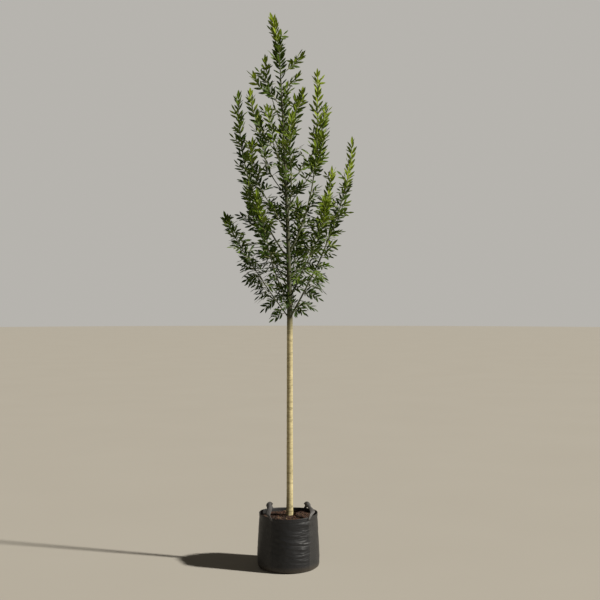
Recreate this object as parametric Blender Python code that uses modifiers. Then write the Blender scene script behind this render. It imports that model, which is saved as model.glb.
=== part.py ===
"""A young standard tree in a woven planter bag, as separate solids.

Metres, +Z up. The origin is the centre of the bag's flat underside, +X is to
the right and -Y is the front. Bearings are degrees seen from above, 0 at +X
and 90 at +Y, so 270 is the front.
"""

import math
import random

import bmesh
import bpy
import numpy as np
from mathutils import Matrix, Vector, noise

# Bag and compost
BAG_HEIGHT = 0.346
BAG_FOOT_RADIUS = 0.174
BAG_BELLY_RADIUS = 0.200
BAG_RIM_RADIUS = 0.188
BAG_WALL = 0.003
BAG_SIDES = 36
SIDE_HEIGHTS = (0.018, 0.036, 0.090, 0.200)
HEM_DEPTH = 0.020
HEM_PROUD = 0.0015
PANEL_BULGE = 0.0025
SEAM_BEARINGS = (58.0, 122.0, 237.0, 313.0)
RIM_LIFT = 0.010
COMPOST_TOP = 0.331
COMPOST_EDGE = 0.322
COMPOST_LUMPS = 0.004
GAP = 0.0003
FIT_GAP = 0.0012

# Handles, each a strap from one seam to the next: name, the two bearings, and
# the share of its length by which it leans in
HANDLES = (("handle_left", 237.0, 122.0, 0.16), ("handle_right", 313.0, 418.0, 0.40))
STRAP_WIDTH = 0.036
STRAP_FOOT_WIDTH = 0.016
STRAP_THICK = 0.003
STRAP_RISE = 0.067
STRAP_LAP = 0.014
STRAP_LEAN = 0.067
STRAP_STEPS = 22

# Trunk
STEM_X = 0.009
CROWN_FOOT = 1.600
TRUNK_TOP = 3.215
TREE_TOP = 3.607
LEAN = 0.030
LEAN_POWER = 1.5
HOOK_FOOT = 3.300
HOOK = 0.50
SWAY = 0.006
SWAY_RATE = 2.3
FOOT_RADIUS = 0.0212
HEAD_RADIUS = 0.0186
TIP_RADIUS = 0.0018
TAPER_POWER = 1.3
FLARE = 0.0034
FLARE_HEIGHT = 0.038

# Boughs: name, height of the foot on the trunk, bearing, reach, height of the
# last leaf's tip, bow (1 is straight, more rises sooner) and the share that is
# bare
BOUGHS = (
    ("left_low", 1.605, 188, 0.410, 2.310, 1.15, 0.13),
    ("right_low", 1.612, 2, 0.405, 2.800, 1.60, 0.11),
    ("back_low", 1.660, 82, 0.370, 2.450, 1.50, 0.13),
    ("front_left_low", 1.700, 236, 0.350, 2.430, 1.50, 0.13),
    ("front_right_low", 1.740, 312, 0.340, 2.400, 1.50, 0.13),
    ("back_left_low", 1.790, 137, 0.380, 2.580, 1.60, 0.12),
    ("back_right_low", 1.860, 42, 0.380, 2.640, 1.80, 0.12),
    ("left_tall", 1.990, 183, 0.325, 3.095, 2.30, 0.12),
    ("right_tall", 2.028, 350, 0.190, 3.230, 3.60, 0.12),
    ("back_mid", 2.100, 97, 0.300, 2.960, 2.20, 0.12),
    ("left_front_mid", 2.160, 222, 0.300, 2.760, 1.90, 0.12),
    ("front_mid", 2.260, 277, 0.250, 2.920, 2.40, 0.13),
    ("right_front_mid", 2.330, 327, 0.270, 2.820, 1.80, 0.13),
    ("back_left_mid", 2.410, 136, 0.260, 3.000, 2.20, 0.12),
    ("back_right_mid", 2.470, 32, 0.305, 3.050, 1.90, 0.12),
    ("left_mid", 2.620, 187, 0.225, 3.110, 1.70, 0.14),
    ("front_left_high", 2.560, 238, 0.200, 2.980, 1.80, 0.14),
    ("front_right_high", 2.700, 300, 0.150, 3.050, 1.80, 0.14),
    ("back_high", 2.770, 84, 0.140, 3.190, 1.80, 0.14),
    ("right_high", 2.830, 8, 0.125, 3.130, 1.40, 0.16),
    ("left_high", 2.850, 174, 0.118, 3.330, 1.60, 0.15),
    ("right_top", 3.185, 4, 0.125, 3.365, 1.10, 0.10),
)
# Leafy spurs, which start on the trunk with no bare part: the same values
SPURS = (
    ("spur_1", 1.720, 112, 0.110, 1.860, 1.30, 0.0),
    ("spur_2", 1.930, 196, 0.100, 2.080, 1.30, 0.0),
    ("spur_3", 2.060, 34, 0.110, 2.210, 1.30, 0.0),
    ("spur_4", 2.230, 158, 0.100, 2.390, 1.30, 0.0),
    ("spur_5", 2.380, 12, 0.100, 2.540, 1.30, 0.0),
    ("spur_6", 3.090, 5, 0.100, 3.235, 1.20, 0.0),
    ("spur_7", 2.990, 178, 0.175, 3.225, 1.30, 0.0),
)
BOUGH_RADIUS_PER_METRE = 0.0042
BOUGH_LEAST_RADIUS = 0.0012
BOUGH_TIP_RADIUS = 0.0018
BOUGH_TAPER_POWER = 0.9
BOUGH_SWAY = 0.010

# Twigs stand in crossed pairs, longer and flatter low in the crown
SEED = 41
PAIR_STEP = 0.094
TWIG_LOW, TWIG_HIGH = 0.255, 0.142
TWIG_SHORTENS = 0.45
TWIG_INWARD = 0.70
TWIG_LEAST = 0.025
TWIG_RADIUS = 0.0026
TWIG_TAPER = 0.75
PAIR_TURN = 22.0
TURN_JITTER = 18.0
TILT_JITTER = 9.0
DROOP_LOW, DROOP_HIGH = 1.72, 2.45
POLAR_LOW, POLAR_HIGH = 110.0, 42.0
TIP_POLAR_LOW, TIP_POLAR_HIGH = 54.0, 24.0
TIP_LEAF = 0.065

# Leaves of the solids: larger than life, and each of eight faces
LEAF_LENGTH = 0.098
LEAF_WIDTH = 0.029
LEAF_THICK = 0.0022
LEAF_WIDEST = 0.44
LEAF_FOLD = 0.0035
LEAF_ANGLE = 42.0
LEAF_ROLL = 80.0
LEAF_SUNK = 0.0012
TWIG_PAST_LEAF = 0.004
LEAF_START = 0.008
SIDE_LEAVES = ((0.60, 1), (0.74, -1), (0.20, -1))
SIDE_LEAF_SCALE = 0.92
TIP_LEAF_SCALE = 0.80
TIP_PAIR_BACK = 0.022
TIP_PAIR_ANGLE = 30.0
SMALLER = (1.0, 0.8, 0.64)
SPACE_MARGIN = 0.007
LIMB_CLEAR = 0.004


def clear_scene():
    for thing in list(bpy.data.objects):
        bpy.data.objects.remove(thing, do_unlink=True)


def new_collection(name):
    collection = bpy.data.collections.new(name)
    bpy.context.scene.collection.children.link(collection)
    return collection


def finish(name, colour, roughness, metallic=0.0):
    """A material with the part's plain colour."""
    material = bpy.data.materials.new(name)
    material.use_nodes = True
    shader = material.node_tree.nodes["Principled BSDF"]
    shader.inputs["Base Color"].default_value = (*colour, 1.0)
    shader.inputs["Roughness"].default_value = roughness
    shader.inputs["Metallic"].default_value = metallic
    return material


def add_object(name, mesh, collection, material=None):
    thing = bpy.data.objects.new(name, mesh)
    collection.objects.link(thing)
    if material:
        mesh.materials.clear()
        mesh.materials.append(material)
    return thing


def applied_mesh(thing):
    """The object's evaluated mesh, with a curve's loose caps welded on."""
    bpy.context.view_layer.update()
    graph = bpy.context.evaluated_depsgraph_get()
    mesh = bpy.data.meshes.new_from_object(thing.evaluated_get(graph))
    shape = bmesh.new()
    shape.from_mesh(mesh)
    bmesh.ops.remove_doubles(shape, verts=shape.verts, dist=1e-6)
    shape.to_mesh(mesh)
    shape.free()
    return mesh


def keep_largest_body(mesh):
    """Drops what a union left loose, so that one body stays."""
    shape = bmesh.new()
    shape.from_mesh(mesh)
    unseen = set(shape.verts)
    bodies = []
    while unseen:
        body = {unseen.pop()}
        reached = list(body)
        while reached:
            corner = reached.pop()
            for side in corner.link_edges:
                far = side.other_vert(corner)
                if far in unseen:
                    unseen.remove(far)
                    body.add(far)
                    reached.append(far)
        bodies.append(body)
    largest = max(bodies, key=len)
    loose = [corner for corner in shape.verts if corner not in largest]
    bmesh.ops.delete(shape, geom=loose, context="VERTS")
    shape.to_mesh(mesh)
    shape.free()


def replace_with_mesh(thing, collection, material):
    """Swaps a curve, or a mesh with modifiers, for its finished mesh."""
    name, mesh, place = thing.name, applied_mesh(thing), thing.matrix_world.copy()
    bpy.data.objects.remove(thing, do_unlink=True)
    made = add_object(name, mesh, collection, material)
    made.matrix_world = place
    return made


def add_boolean(thing, operation, other=None, others=None):
    modifier = thing.modifiers.new(operation.lower(), "BOOLEAN")
    modifier.operation = operation
    modifier.solver = "EXACT"
    if others:
        modifier.operand_type = "COLLECTION"
        modifier.collection = others
    else:
        modifier.object = other


def tube(name, points, radii, sides, collection):
    """A tapering limb: a poly curve with a round bevel and filled caps."""
    curve = bpy.data.curves.new(name, "CURVE")
    curve.dimensions = "3D"
    curve.bevel_depth = 1.0
    curve.bevel_resolution = (sides - 4) // 2
    curve.use_fill_caps = True
    spline = curve.splines.new("POLY")
    spline.points.add(len(points) - 1)
    for knot, point, radius in zip(spline.points, points, radii):
        knot.co = (*point, 1.0)
        knot.radius = radius
    thing = bpy.data.objects.new(name, curve)
    collection.objects.link(thing)
    return thing


# The growth rule


def trunk_point(z):
    """Centre of the trunk at height z: upright, then leaning to the left."""
    rise = max(0.0, z - CROWN_FOOT)
    hook = max(0.0, z - HOOK_FOOT)
    x = STEM_X - LEAN * rise**LEAN_POWER - HOOK * hook**2
    return Vector((x, SWAY * math.sin(SWAY_RATE * (z - COMPOST_TOP)), z))


def trunk_radius(z):
    """Clear stem with a small root flare, then the leader's taper."""
    if z < CROWN_FOOT:
        share = (z - COMPOST_TOP) / (CROWN_FOOT - COMPOST_TOP)
        flare = FLARE * math.exp(-(z - COMPOST_TOP) / FLARE_HEIGHT)
        return FOOT_RADIUS + (HEAD_RADIUS - FOOT_RADIUS) * share + flare
    share = min(1.0, (z - CROWN_FOOT) / (TREE_TOP - CROWN_FOOT))
    return TIP_RADIUS + (HEAD_RADIUS - TIP_RADIUS) * (1 - share) ** TAPER_POWER


class Shoot:
    """An axis from the trunk to its tip, with a bare part and a leafy part."""

    def __init__(self, name, foot, bearing, reach, tip, bow, bare):
        self.name = name
        self.foot = foot
        self.bearing = math.radians(bearing)
        self.reach = reach
        self.tip = tip - TIP_LEAF
        self.bow = bow
        self.bare = bare
        self.sway = BOUGH_SWAY * random.Random(f"{SEED} sway {name}").choice((-1, 1))
        steps = [self.point(i / 20) for i in range(21)]
        self.length = sum((b - a).length for a, b in zip(steps, steps[1:]))

    def point(self, share):
        """Where the axis is at this share of its rise."""
        out = self.reach * (1 - (1 - share) ** self.bow)
        aside = self.sway * math.sin(2 * math.pi * share)
        c, s = math.cos(self.bearing), math.sin(self.bearing)
        offset = Vector((out * c - aside * s, out * s + aside * c, 0.0))
        offset.z = (self.tip - self.foot) * share
        return trunk_point(self.foot) + offset

    def radius(self, share):
        wide = BOUGH_LEAST_RADIUS + BOUGH_RADIUS_PER_METRE * self.length
        taper = (1 - share) ** BOUGH_TAPER_POWER
        return BOUGH_TIP_RADIUS + (wide - BOUGH_TIP_RADIUS) * taper


class Leader(Shoot):
    """The trunk's own top, which carries twigs as a bough does."""

    def __init__(self):
        foot = TRUNK_TOP + 2 * GAP
        super().__init__("leader", foot, 180, 0.2, TREE_TOP, 1.0, 0.0)

    def point(self, share):
        return trunk_point(self.foot + (self.tip - self.foot) * share)

    def radius(self, share):
        return trunk_radius(self.foot + (self.tip - self.foot) * share)


def smooth(share):
    share = min(1.0, max(0.0, share))
    return share * share * (3 - 2 * share)


def pair_shares(shoot):
    """Where the pairs of twigs stand, as shares of the shoot's rise."""
    leafy = shoot.length * (1 - shoot.bare)
    pairs = max(1, round(leafy / PAIR_STEP))
    return [shoot.bare + (1 - shoot.bare) * (i + 0.4) / pairs for i in range(pairs)]


def twig_pairs(shoot):
    """Twigs up a shoot's leafy part: (pair, foot, direction, length) of each.

    Low twigs spread and droop, high ones rise, and those that point back to
    the trunk or stand near the tip are shorter.
    """
    shares = pair_shares(shoot)
    for pair in range(len(shares)):
        dice = random.Random(f"{SEED} {shoot.name} {pair}")
        share = (pair + 0.4) / len(shares)
        foot = shoot.point(shares[pair])
        high = smooth((foot.z - DROOP_LOW) / (DROOP_HIGH - DROOP_LOW))
        polar = POLAR_LOW + (POLAR_HIGH - POLAR_LOW) * high
        tip_polar = TIP_POLAR_LOW + (TIP_POLAR_HIGH - TIP_POLAR_LOW) * high
        polar += (tip_polar - polar) * share**4
        turn = shoot.bearing + math.radians(
            PAIR_TURN + 90 * pair + dice.uniform(-TURN_JITTER, TURN_JITTER)
        )
        for side in (0, 1):
            bearing = turn + math.pi * side
            tilt = math.radians(polar + dice.uniform(-TILT_JITTER, TILT_JITTER))
            direction = Vector(
                (
                    math.sin(tilt) * math.cos(bearing),
                    math.sin(tilt) * math.sin(bearing),
                    math.cos(tilt),
                )
            )
            outward = math.cos(bearing - shoot.bearing)
            length = TWIG_LOW + (TWIG_HIGH - TWIG_LOW) * high
            length *= 1 - TWIG_SHORTENS * share**3
            length *= 1 + (1 - TWIG_INWARD) * min(0.0, outward)
            length *= dice.uniform(0.82, 1.16)
            yield pair, foot, direction, length


# Space that each mass keeps to


class Space:
    """The room of each shoot: what is nearer to its axis than to any other."""

    def __init__(self, shoots):
        self.owners = []
        self.points = []
        self.limbs = []
        self.limb_radii = []
        for shoot in shoots:
            for i in range(41):
                share = i / 40
                if share < shoot.bare:
                    self.limbs.append(shoot.point(share))
                    self.limb_radii.append(shoot.radius(share))
                self.owners.append(shoot.name)
                self.points.append(shoot.point(share))
        steps = 160
        for i in range(steps + 1):
            z = CROWN_FOOT + (TRUNK_TOP - CROWN_FOOT) * i / steps
            self.limbs.append(trunk_point(z))
            self.limb_radii.append(trunk_radius(z))
        self.owners = np.array(self.owners)
        self.points = np.array(self.points)
        self.limbs = np.array(self.limbs)
        self.limb_radii = np.array(self.limb_radii)

    def holds(self, name, samples):
        """Whether the samples keep to this shoot's room and clear of limbs."""
        samples = np.array([tuple(p) for p in samples])
        away = np.linalg.norm(self.points[None] - samples[:, None], axis=2)
        own = away[:, self.owners == name].min(axis=1)
        other = away[:, self.owners != name].min(axis=1)
        if (own + SPACE_MARGIN > other).any():
            return False
        away = np.linalg.norm(self.limbs[None] - samples[:, None], axis=2)
        return bool((away > self.limb_radii[None] + LIMB_CLEAR).all())


# Leaves and twigs


def leaf_shape():
    """A blade of eight faces: root at the origin, tip at +Y, folded at its rib."""
    mesh = bpy.data.meshes.new("leaf")
    shape = bmesh.new()
    bmesh.ops.create_uvsphere(shape, u_segments=4, v_segments=2, radius=0.5)
    for corner in shape.verts:
        x, y, z = corner.co
        along = z + 0.5 if abs(z) > 0.1 else LEAF_WIDEST
        corner.co = (x, along, y)
    for corner in shape.verts:
        if abs(corner.co.x) > 0.1:
            corner.co.z += LEAF_FOLD / LEAF_THICK
    bmesh.ops.recalc_face_normals(shape, faces=shape.faces)
    shape.to_mesh(mesh)
    shape.free()
    return mesh


def twig_shape():
    """A three-sided taper of unit length up +Z, its foot at the origin."""
    mesh = bpy.data.meshes.new("twig")
    shape = bmesh.new()
    bmesh.ops.create_cone(
        shape, cap_ends=True, segments=3, radius1=1.0, radius2=TWIG_TAPER, depth=1.0
    )
    bmesh.ops.translate(shape, verts=shape.verts, vec=(0, 0, 0.5))
    shape.to_mesh(mesh)
    shape.free()
    return mesh


def facing(direction, flat):
    """Axes with Y along the direction and Z as near to flat as can be."""
    along = direction.normalized()
    across = along.cross(flat)
    if across.length < 1e-3:
        across = along.cross(Vector((1, 0, 0)))
    across.normalize()
    return Matrix((across, along, across.cross(along))).transposed()


def leaf_samples(root, axes, length, width):
    tip = root + axes @ Vector((0, length, 0))
    middle = root + axes @ Vector((0, length * LEAF_WIDEST, 0))
    side = axes @ Vector((width / 2, 0, 0))
    corners = (root, middle - side, tip, middle + side)
    halfway = [(a + b) / 2 for a, b in zip(corners, corners[1:] + corners[:1])]
    return [*corners, *halfway, middle]


class Mass:
    """A stem with twigs and leaves, fused to one solid that keeps to its room."""

    def __init__(self, shoot, space, shapes, collection, material):
        self.shoot = shoot
        self.space = space
        self.leaf, self.twig = shapes
        self.collection = collection
        self.material = material
        self.pieces = bpy.data.collections.new(f"pieces_{shoot.name}")
        bpy.context.scene.collection.children.link(self.pieces)
        self.leaves = 0

    def add_piece(self, mesh, place):
        thing = bpy.data.objects.new("piece", mesh)
        thing.matrix_world = place
        self.pieces.objects.link(thing)

    def add_leaf(self, root, direction, flat, scale=1.0):
        """A leaf where there is room for one, smaller where there is less."""
        axes = facing(direction, flat)
        root = root - direction.normalized() * LEAF_SUNK
        start = root + direction.normalized() * LEAF_START
        for smaller in SMALLER:
            length = LEAF_LENGTH * scale * smaller
            width = LEAF_WIDTH * scale * smaller
            samples = leaf_samples(start, axes, length, width)
            if self.space.holds(self.shoot.name, samples):
                size = Matrix.Diagonal((width, length, LEAF_THICK))
                place = Matrix.Translation(root) @ (axes @ size).to_4x4()
                self.add_piece(self.leaf, place)
                self.leaves += 1
                return

    def add_twig(self, foot, direction, length, flat, dice):
        """A twig, with a leaf at its end and others part of the way along it."""
        reach = 0.0
        for shorter in SMALLER:
            tried = length * shorter - LEAF_LENGTH
            samples = [foot + direction * tried * i / 4 for i in (2, 3, 4)]
            if tried > TWIG_LEAST and self.space.holds(self.shoot.name, samples):
                reach = tried
                break
        self.add_leaf(foot + direction * reach, direction, flat)
        if not reach:
            return
        axes = facing(direction, flat)
        upright = Matrix((axes.col[0], -axes.col[2], axes.col[1])).transposed()
        size = Matrix.Diagonal((TWIG_RADIUS, TWIG_RADIUS, reach + TWIG_PAST_LEAF))
        self.add_piece(self.twig, Matrix.Translation(foot) @ (upright @ size).to_4x4())
        side = direction.cross(flat).normalized()
        spread = math.radians(LEAF_ANGLE + dice.uniform(-5, 5))
        for share, way in SIDE_LEAVES:
            if share * reach < TWIG_LEAST / 2:
                continue
            root = foot + direction * reach * share
            aim = direction * math.cos(spread) + side * way * math.sin(spread)
            self.add_leaf(root, aim, flat, SIDE_LEAF_SCALE)

    def grow(self):
        """Twigs at every other pair, single leaves at the pairs between."""
        shoot = self.shoot
        for pair, foot, direction, length in twig_pairs(shoot):
            dice = random.Random(f"{SEED} {shoot.name} leaves {pair} {direction.x:.3f}")
            roll = math.radians(dice.uniform(-LEAF_ROLL, LEAF_ROLL))
            upward = Matrix.Rotation(roll, 3, direction) @ Vector((0, 0, 1))
            if pair % 2:
                self.add_leaf(foot, direction, upward)
            else:
                self.add_twig(foot, direction, length, upward, dice)
        self.grow_tip()

    def grow_tip(self):
        """The leaf at the shoot's tip and the pair beside it."""
        shoot = self.shoot
        tip = shoot.point(1.0)
        along = (tip - shoot.point(self.knots()[-2])).normalized()
        aside = along.cross(Vector((0, 1, 0))).normalized()
        flat = aside.cross(along)
        root = tip - along * TWIG_PAST_LEAF
        self.add_leaf(root, along, flat, TIP_LEAF_SCALE)
        root -= along * TIP_PAIR_BACK
        for angle in (TIP_PAIR_ANGLE, -TIP_PAIR_ANGLE):
            turn = math.radians(angle)
            aim = along * math.cos(turn) + aside * math.sin(turn)
            self.add_leaf(root, aim, flat, TIP_LEAF_SCALE)

    def knots(self):
        """The stem bends only where twigs stand on it."""
        start = self.shoot.bare + (GAP / self.shoot.length if self.shoot.bare else 0)
        return [start, *pair_shares(self.shoot), 1.0]

    def fuse(self, trunk_cutter):
        """One Boolean union joins the pieces to the stem."""
        shoot = self.shoot
        shares = self.knots()
        name = f"foliage_{shoot.name}"
        stem = tube(
            name,
            [shoot.point(s) for s in shares],
            [shoot.radius(s) for s in shares],
            4,
            self.collection,
        )
        stem = replace_with_mesh(stem, self.collection, self.material)
        if trunk_cutter:
            add_boolean(stem, "DIFFERENCE", other=trunk_cutter)
        add_boolean(stem, "UNION", others=self.pieces)
        stem = replace_with_mesh(stem, self.collection, self.material)
        keep_largest_body(stem.data)
        for piece in list(self.pieces.objects):
            bpy.data.objects.remove(piece, do_unlink=True)
        bpy.data.collections.remove(self.pieces)
        return stem


# Trunk and boughs


def trunk_tube(name, collection, extra=0.0, top=TRUNK_TOP, foot=None):
    """The trunk from its flat cut on the compost to where its leafy top begins."""
    foot = COMPOST_TOP + GAP if foot is None else foot
    heights = [foot, foot + 0.012, foot + 0.030, foot + 0.060, foot + 0.15]
    steps = 18
    heights += [foot + 0.15 + (top - foot - 0.15) * i / steps for i in range(1, steps + 1)]
    points = [trunk_point(z) for z in heights]
    # the first length is upright, so that its cut lies level
    points[0].xy = points[1].xy
    radii = [trunk_radius(z) + extra for z in heights]
    return tube(name, points, radii, 10, collection)


def make_bough(shoot, trunk_cutter, collection, material):
    """The bare limb, cut to sit on the trunk's side."""
    steps = 4
    shares = [shoot.bare * i / steps for i in range(steps + 1)]
    limb = tube(
        f"bough_{shoot.name}",
        [shoot.point(s) for s in shares],
        [shoot.radius(s) for s in shares],
        6,
        collection,
    )
    limb = replace_with_mesh(limb, collection, material)
    add_boolean(limb, "DIFFERENCE", other=trunk_cutter)
    return replace_with_mesh(limb, collection, material)


# Bag, compost and handles


def seam_share(bearing):
    """0 at a seam between two of the bag's panels, 1 in a panel's middle."""
    ends = sorted(SEAM_BEARINGS)
    ends = [ends[-1] - 360, *ends, ends[0] + 360]
    bearing %= 360
    for low, high in zip(ends, ends[1:]):
        if low <= bearing < high:
            return math.sin(math.pi * (bearing - low) / (high - low))
    return 0.0


def bag_form(point):
    """Puts a point of the turned bag where the sewn bag has it.

    The panels bulge between their seams, and the straps lift the rim.
    """
    x, y, z = point
    radius = math.hypot(x, y)
    if radius < 1e-6:
        return Vector((x, y, z))
    angle = math.atan2(y, x)
    height = min(1.0, max(0.0, z / BAG_HEIGHT))
    bulge = PANEL_BULGE * (seam_share(math.degrees(angle)) - 0.5)
    bulge *= 2 * math.sin(math.pi * min(1.0, height * 1.1)) ** 0.5 if z > 0.004 else 0
    edge = min(1.0, radius / BAG_FOOT_RADIUS) ** 3
    out = radius + bulge * edge
    lift = RIM_LIFT * (abs(math.cos(angle)) ** 1.5 - 0.4) * height**6 * edge
    return Vector((out * math.cos(angle), out * math.sin(angle), z + lift))


def bag_radius(z):
    """Outer radius of the turned bag: round foot, full belly, drawn-in rim."""
    foot = min(1.0, z / 0.030)
    rounded = math.sqrt(max(0.0, 1 - (1 - foot) ** 2))
    low = BAG_FOOT_RADIUS + (BAG_BELLY_RADIUS - BAG_FOOT_RADIUS) * rounded
    drawn = smooth((z - 0.06) / (BAG_HEIGHT - 0.06))
    return low + (BAG_RIM_RADIUS - BAG_BELLY_RADIUS) * drawn


def turned(name, profile, collection, material):
    """A profile of (radius, height) turned about Z with a Screw modifier."""
    mesh = bpy.data.meshes.new(name)
    points = [(r, 0.0, z) for r, z in profile]
    mesh.from_pydata(points, [(i, i + 1) for i in range(len(points) - 1)], [])
    thing = add_object(name, mesh, collection, material)
    screw = thing.modifiers.new("turn", "SCREW")
    screw.axis = "Z"
    screw.steps = screw.render_steps = BAG_SIDES
    screw.use_merge_vertices = True
    screw.merge_threshold = 0.00005
    return replace_with_mesh(thing, collection, material)


def make_bag(collection, material):
    hem_foot = BAG_HEIGHT - HEM_DEPTH
    hem = bag_radius(hem_foot) + HEM_PROUD
    outside = [(bag_radius(z), z) for z in (0.006, *SIDE_HEIGHTS)]
    inside = [(bag_radius(z) - BAG_WALL, z + 0.001) for z in SIDE_HEIGHTS]
    profile = [
        (BAG_RIM_RADIUS - BAG_WALL, BAG_HEIGHT - 0.002),
        (BAG_RIM_RADIUS - 0.0005, BAG_HEIGHT),
        (hem, BAG_HEIGHT - 0.003),
        (hem, hem_foot),
        (bag_radius(hem_foot - 0.004), hem_foot - 0.004),
        *reversed(outside),
        (BAG_FOOT_RADIUS, 0.0),
        (0.0, 0.0),
    ]
    cavity = [(0.0, BAG_WALL), (BAG_FOOT_RADIUS - BAG_WALL, BAG_WALL), *inside]
    bag = turned("bag", profile + cavity + profile[:1], collection, material)
    for corner in bag.data.vertices:
        corner.co = bag_form(corner.co)
    return bag


def make_compost(collection, material):
    """What fills the bag, up to a lumpy top that the trunk stands on."""
    heights = (*SIDE_HEIGHTS, COMPOST_EDGE - 0.004)
    side = [(bag_radius(z) - BAG_WALL - FIT_GAP, z + 0.001) for z in heights]
    low = BAG_WALL + FIT_GAP
    edge = bag_radius(COMPOST_EDGE) - BAG_WALL - FIT_GAP - 0.006
    top = [(r, COMPOST_TOP) for r in (0.0, 0.04, 0.085, 0.135)]
    profile = [*top, (edge, COMPOST_EDGE), *reversed(side)]
    profile += [(BAG_FOOT_RADIUS - BAG_WALL - 2 * FIT_GAP, low), (0.0, low)]
    compost = turned("compost", profile, collection, material)
    for corner in compost.data.vertices:
        radius = math.hypot(corner.co.x, corner.co.y)
        if corner.co.z > COMPOST_EDGE and 0.05 < radius < 0.16:
            corner.co.z += COMPOST_LUMPS * noise.noise(corner.co * 30)
            corner.co.z -= (radius / 0.16) ** 2 * 0.004
        corner.co = bag_form(corner.co)
    return compost


def strap_line(first, last, soon, share):
    """Centre, width direction and width of a strap at a share of its length.

    It leans in over the bag by the share called soon.
    """
    middle = math.radians((first + last) / 2)
    half = math.radians((last - first) / 2)
    swing = 2 * share - 1
    end = 1 if swing > 0 else -1
    angle = middle + half * end * abs(swing) ** 0.85
    rise = math.sin(math.pi * share) ** 0.72
    lift = smooth((rise - 0.25) / 0.75)
    bearing = Vector((math.cos(angle), math.sin(angle), 0))
    along = Vector((-math.sin(angle), math.cos(angle), 0))
    hem = bag_radius(BAG_HEIGHT - HEM_DEPTH) + HEM_PROUD + PANEL_BULGE
    lean = STRAP_LEAN * lift * smooth(share / soon)
    out = hem + STRAP_THICK / 2 + FIT_GAP - lean
    z = BAG_HEIGHT - STRAP_LAP + (STRAP_RISE + STRAP_LAP) * rise
    across = bearing * (lift if half > 0 else -lift)
    wide = (across - along * end * (1 - lift)).normalized()
    width = STRAP_FOOT_WIDTH + (STRAP_WIDTH - STRAP_FOOT_WIDTH) * smooth(rise / 0.55)
    return bearing * out + Vector((0, 0, z)), wide, width


def make_handle(name, first, last, soon, collection, material):
    """A strap: a ribbon bent along its line, given its thickness by Solidify."""
    mesh = bpy.data.meshes.new(name)
    shape = bmesh.new()
    bmesh.ops.create_grid(shape, x_segments=STRAP_STEPS, y_segments=1, size=0.5)
    for corner in shape.verts:
        centre, wide, width = strap_line(first, last, soon, corner.co.x + 0.5)
        corner.co = centre + wide * width * corner.co.y
    shape.to_mesh(mesh)
    shape.free()
    strap = add_object(name, mesh, collection, material)
    solidify = strap.modifiers.new("thickness", "SOLIDIFY")
    solidify.thickness = STRAP_THICK
    solidify.offset = 0.0
    strap = replace_with_mesh(strap, collection, material)
    shape = bmesh.new()
    shape.from_mesh(strap.data)
    bmesh.ops.recalc_face_normals(shape, faces=shape.faces)
    shape.to_mesh(strap.data)
    shape.free()
    return strap


def main():
    clear_scene()
    tree = new_collection("potted_standard_tree")
    helpers = new_collection("cutters")
    bark = finish("bark", (0.30, 0.31, 0.17), 0.75)
    bough_bark = finish("bough_bark", (0.12, 0.15, 0.06), 0.7)
    leaf_green = finish("leaf_green", (0.07, 0.17, 0.03), 0.5)
    woven = finish("woven_bag", (0.02, 0.02, 0.022), 0.6)
    bark_chips = finish("compost", (0.09, 0.05, 0.03), 0.95)

    make_bag(tree, woven)
    make_compost(tree, bark_chips)
    for name, first, last, soon in HANDLES:
        make_handle(name, first, last, soon, tree, woven)

    replace_with_mesh(trunk_tube("trunk", tree), tree, bark)
    cutter = trunk_tube("trunk_cutter", helpers, GAP, TRUNK_TOP + 0.02, CROWN_FOOT - 0.2)
    cutter = replace_with_mesh(cutter, helpers, None)
    cutter.hide_render = True
    cutter.display_type = "WIRE"

    boughs = [Shoot(*row) for row in BOUGHS]
    spurs = [Shoot(*row) for row in SPURS]
    leader = Leader()
    shoots = [*boughs, *spurs, leader]
    space = Space(shoots)
    shapes = leaf_shape(), twig_shape()
    for shoot in boughs:
        make_bough(shoot, cutter, tree, bough_bark)
    leaves = 0
    for shoot in shoots:
        mass = Mass(shoot, space, shapes, tree, leaf_green)
        mass.grow()
        mass.fuse(cutter if shoot in spurs else None)
        leaves += mass.leaves
    print(f"{leaves} leaves")


main()
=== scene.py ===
import math
import random

import bmesh
import bpy
import numpy as np
from mathutils import Matrix, Vector, noise


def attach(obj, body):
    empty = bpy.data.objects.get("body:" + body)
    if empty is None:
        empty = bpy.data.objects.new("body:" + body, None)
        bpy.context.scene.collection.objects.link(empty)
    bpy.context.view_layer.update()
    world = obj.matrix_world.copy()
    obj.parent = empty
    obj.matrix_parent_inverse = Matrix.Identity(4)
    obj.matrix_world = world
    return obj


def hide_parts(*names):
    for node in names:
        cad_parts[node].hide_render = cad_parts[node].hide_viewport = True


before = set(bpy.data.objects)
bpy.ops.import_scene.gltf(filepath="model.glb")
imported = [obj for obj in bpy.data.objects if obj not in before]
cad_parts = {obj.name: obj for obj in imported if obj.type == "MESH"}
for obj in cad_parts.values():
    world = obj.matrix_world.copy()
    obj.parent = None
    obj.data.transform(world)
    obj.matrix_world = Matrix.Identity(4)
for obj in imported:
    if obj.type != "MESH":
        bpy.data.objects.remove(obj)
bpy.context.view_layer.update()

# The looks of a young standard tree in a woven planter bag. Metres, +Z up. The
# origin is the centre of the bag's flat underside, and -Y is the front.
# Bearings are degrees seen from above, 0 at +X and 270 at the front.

SEED = 41

# Camera: level, in front, a little below the middle of the tree
CAMERA_PLACE = (0.0754, -6.40, 1.729)
CAMERA_LENS = 59.1

# What falls on the tree from all round, and what is seen behind it
WORLD_LIGHT = (0.062, 0.055, 0.044)
WORLD_SEEN = (0.47, 0.455, 0.425)
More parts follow.
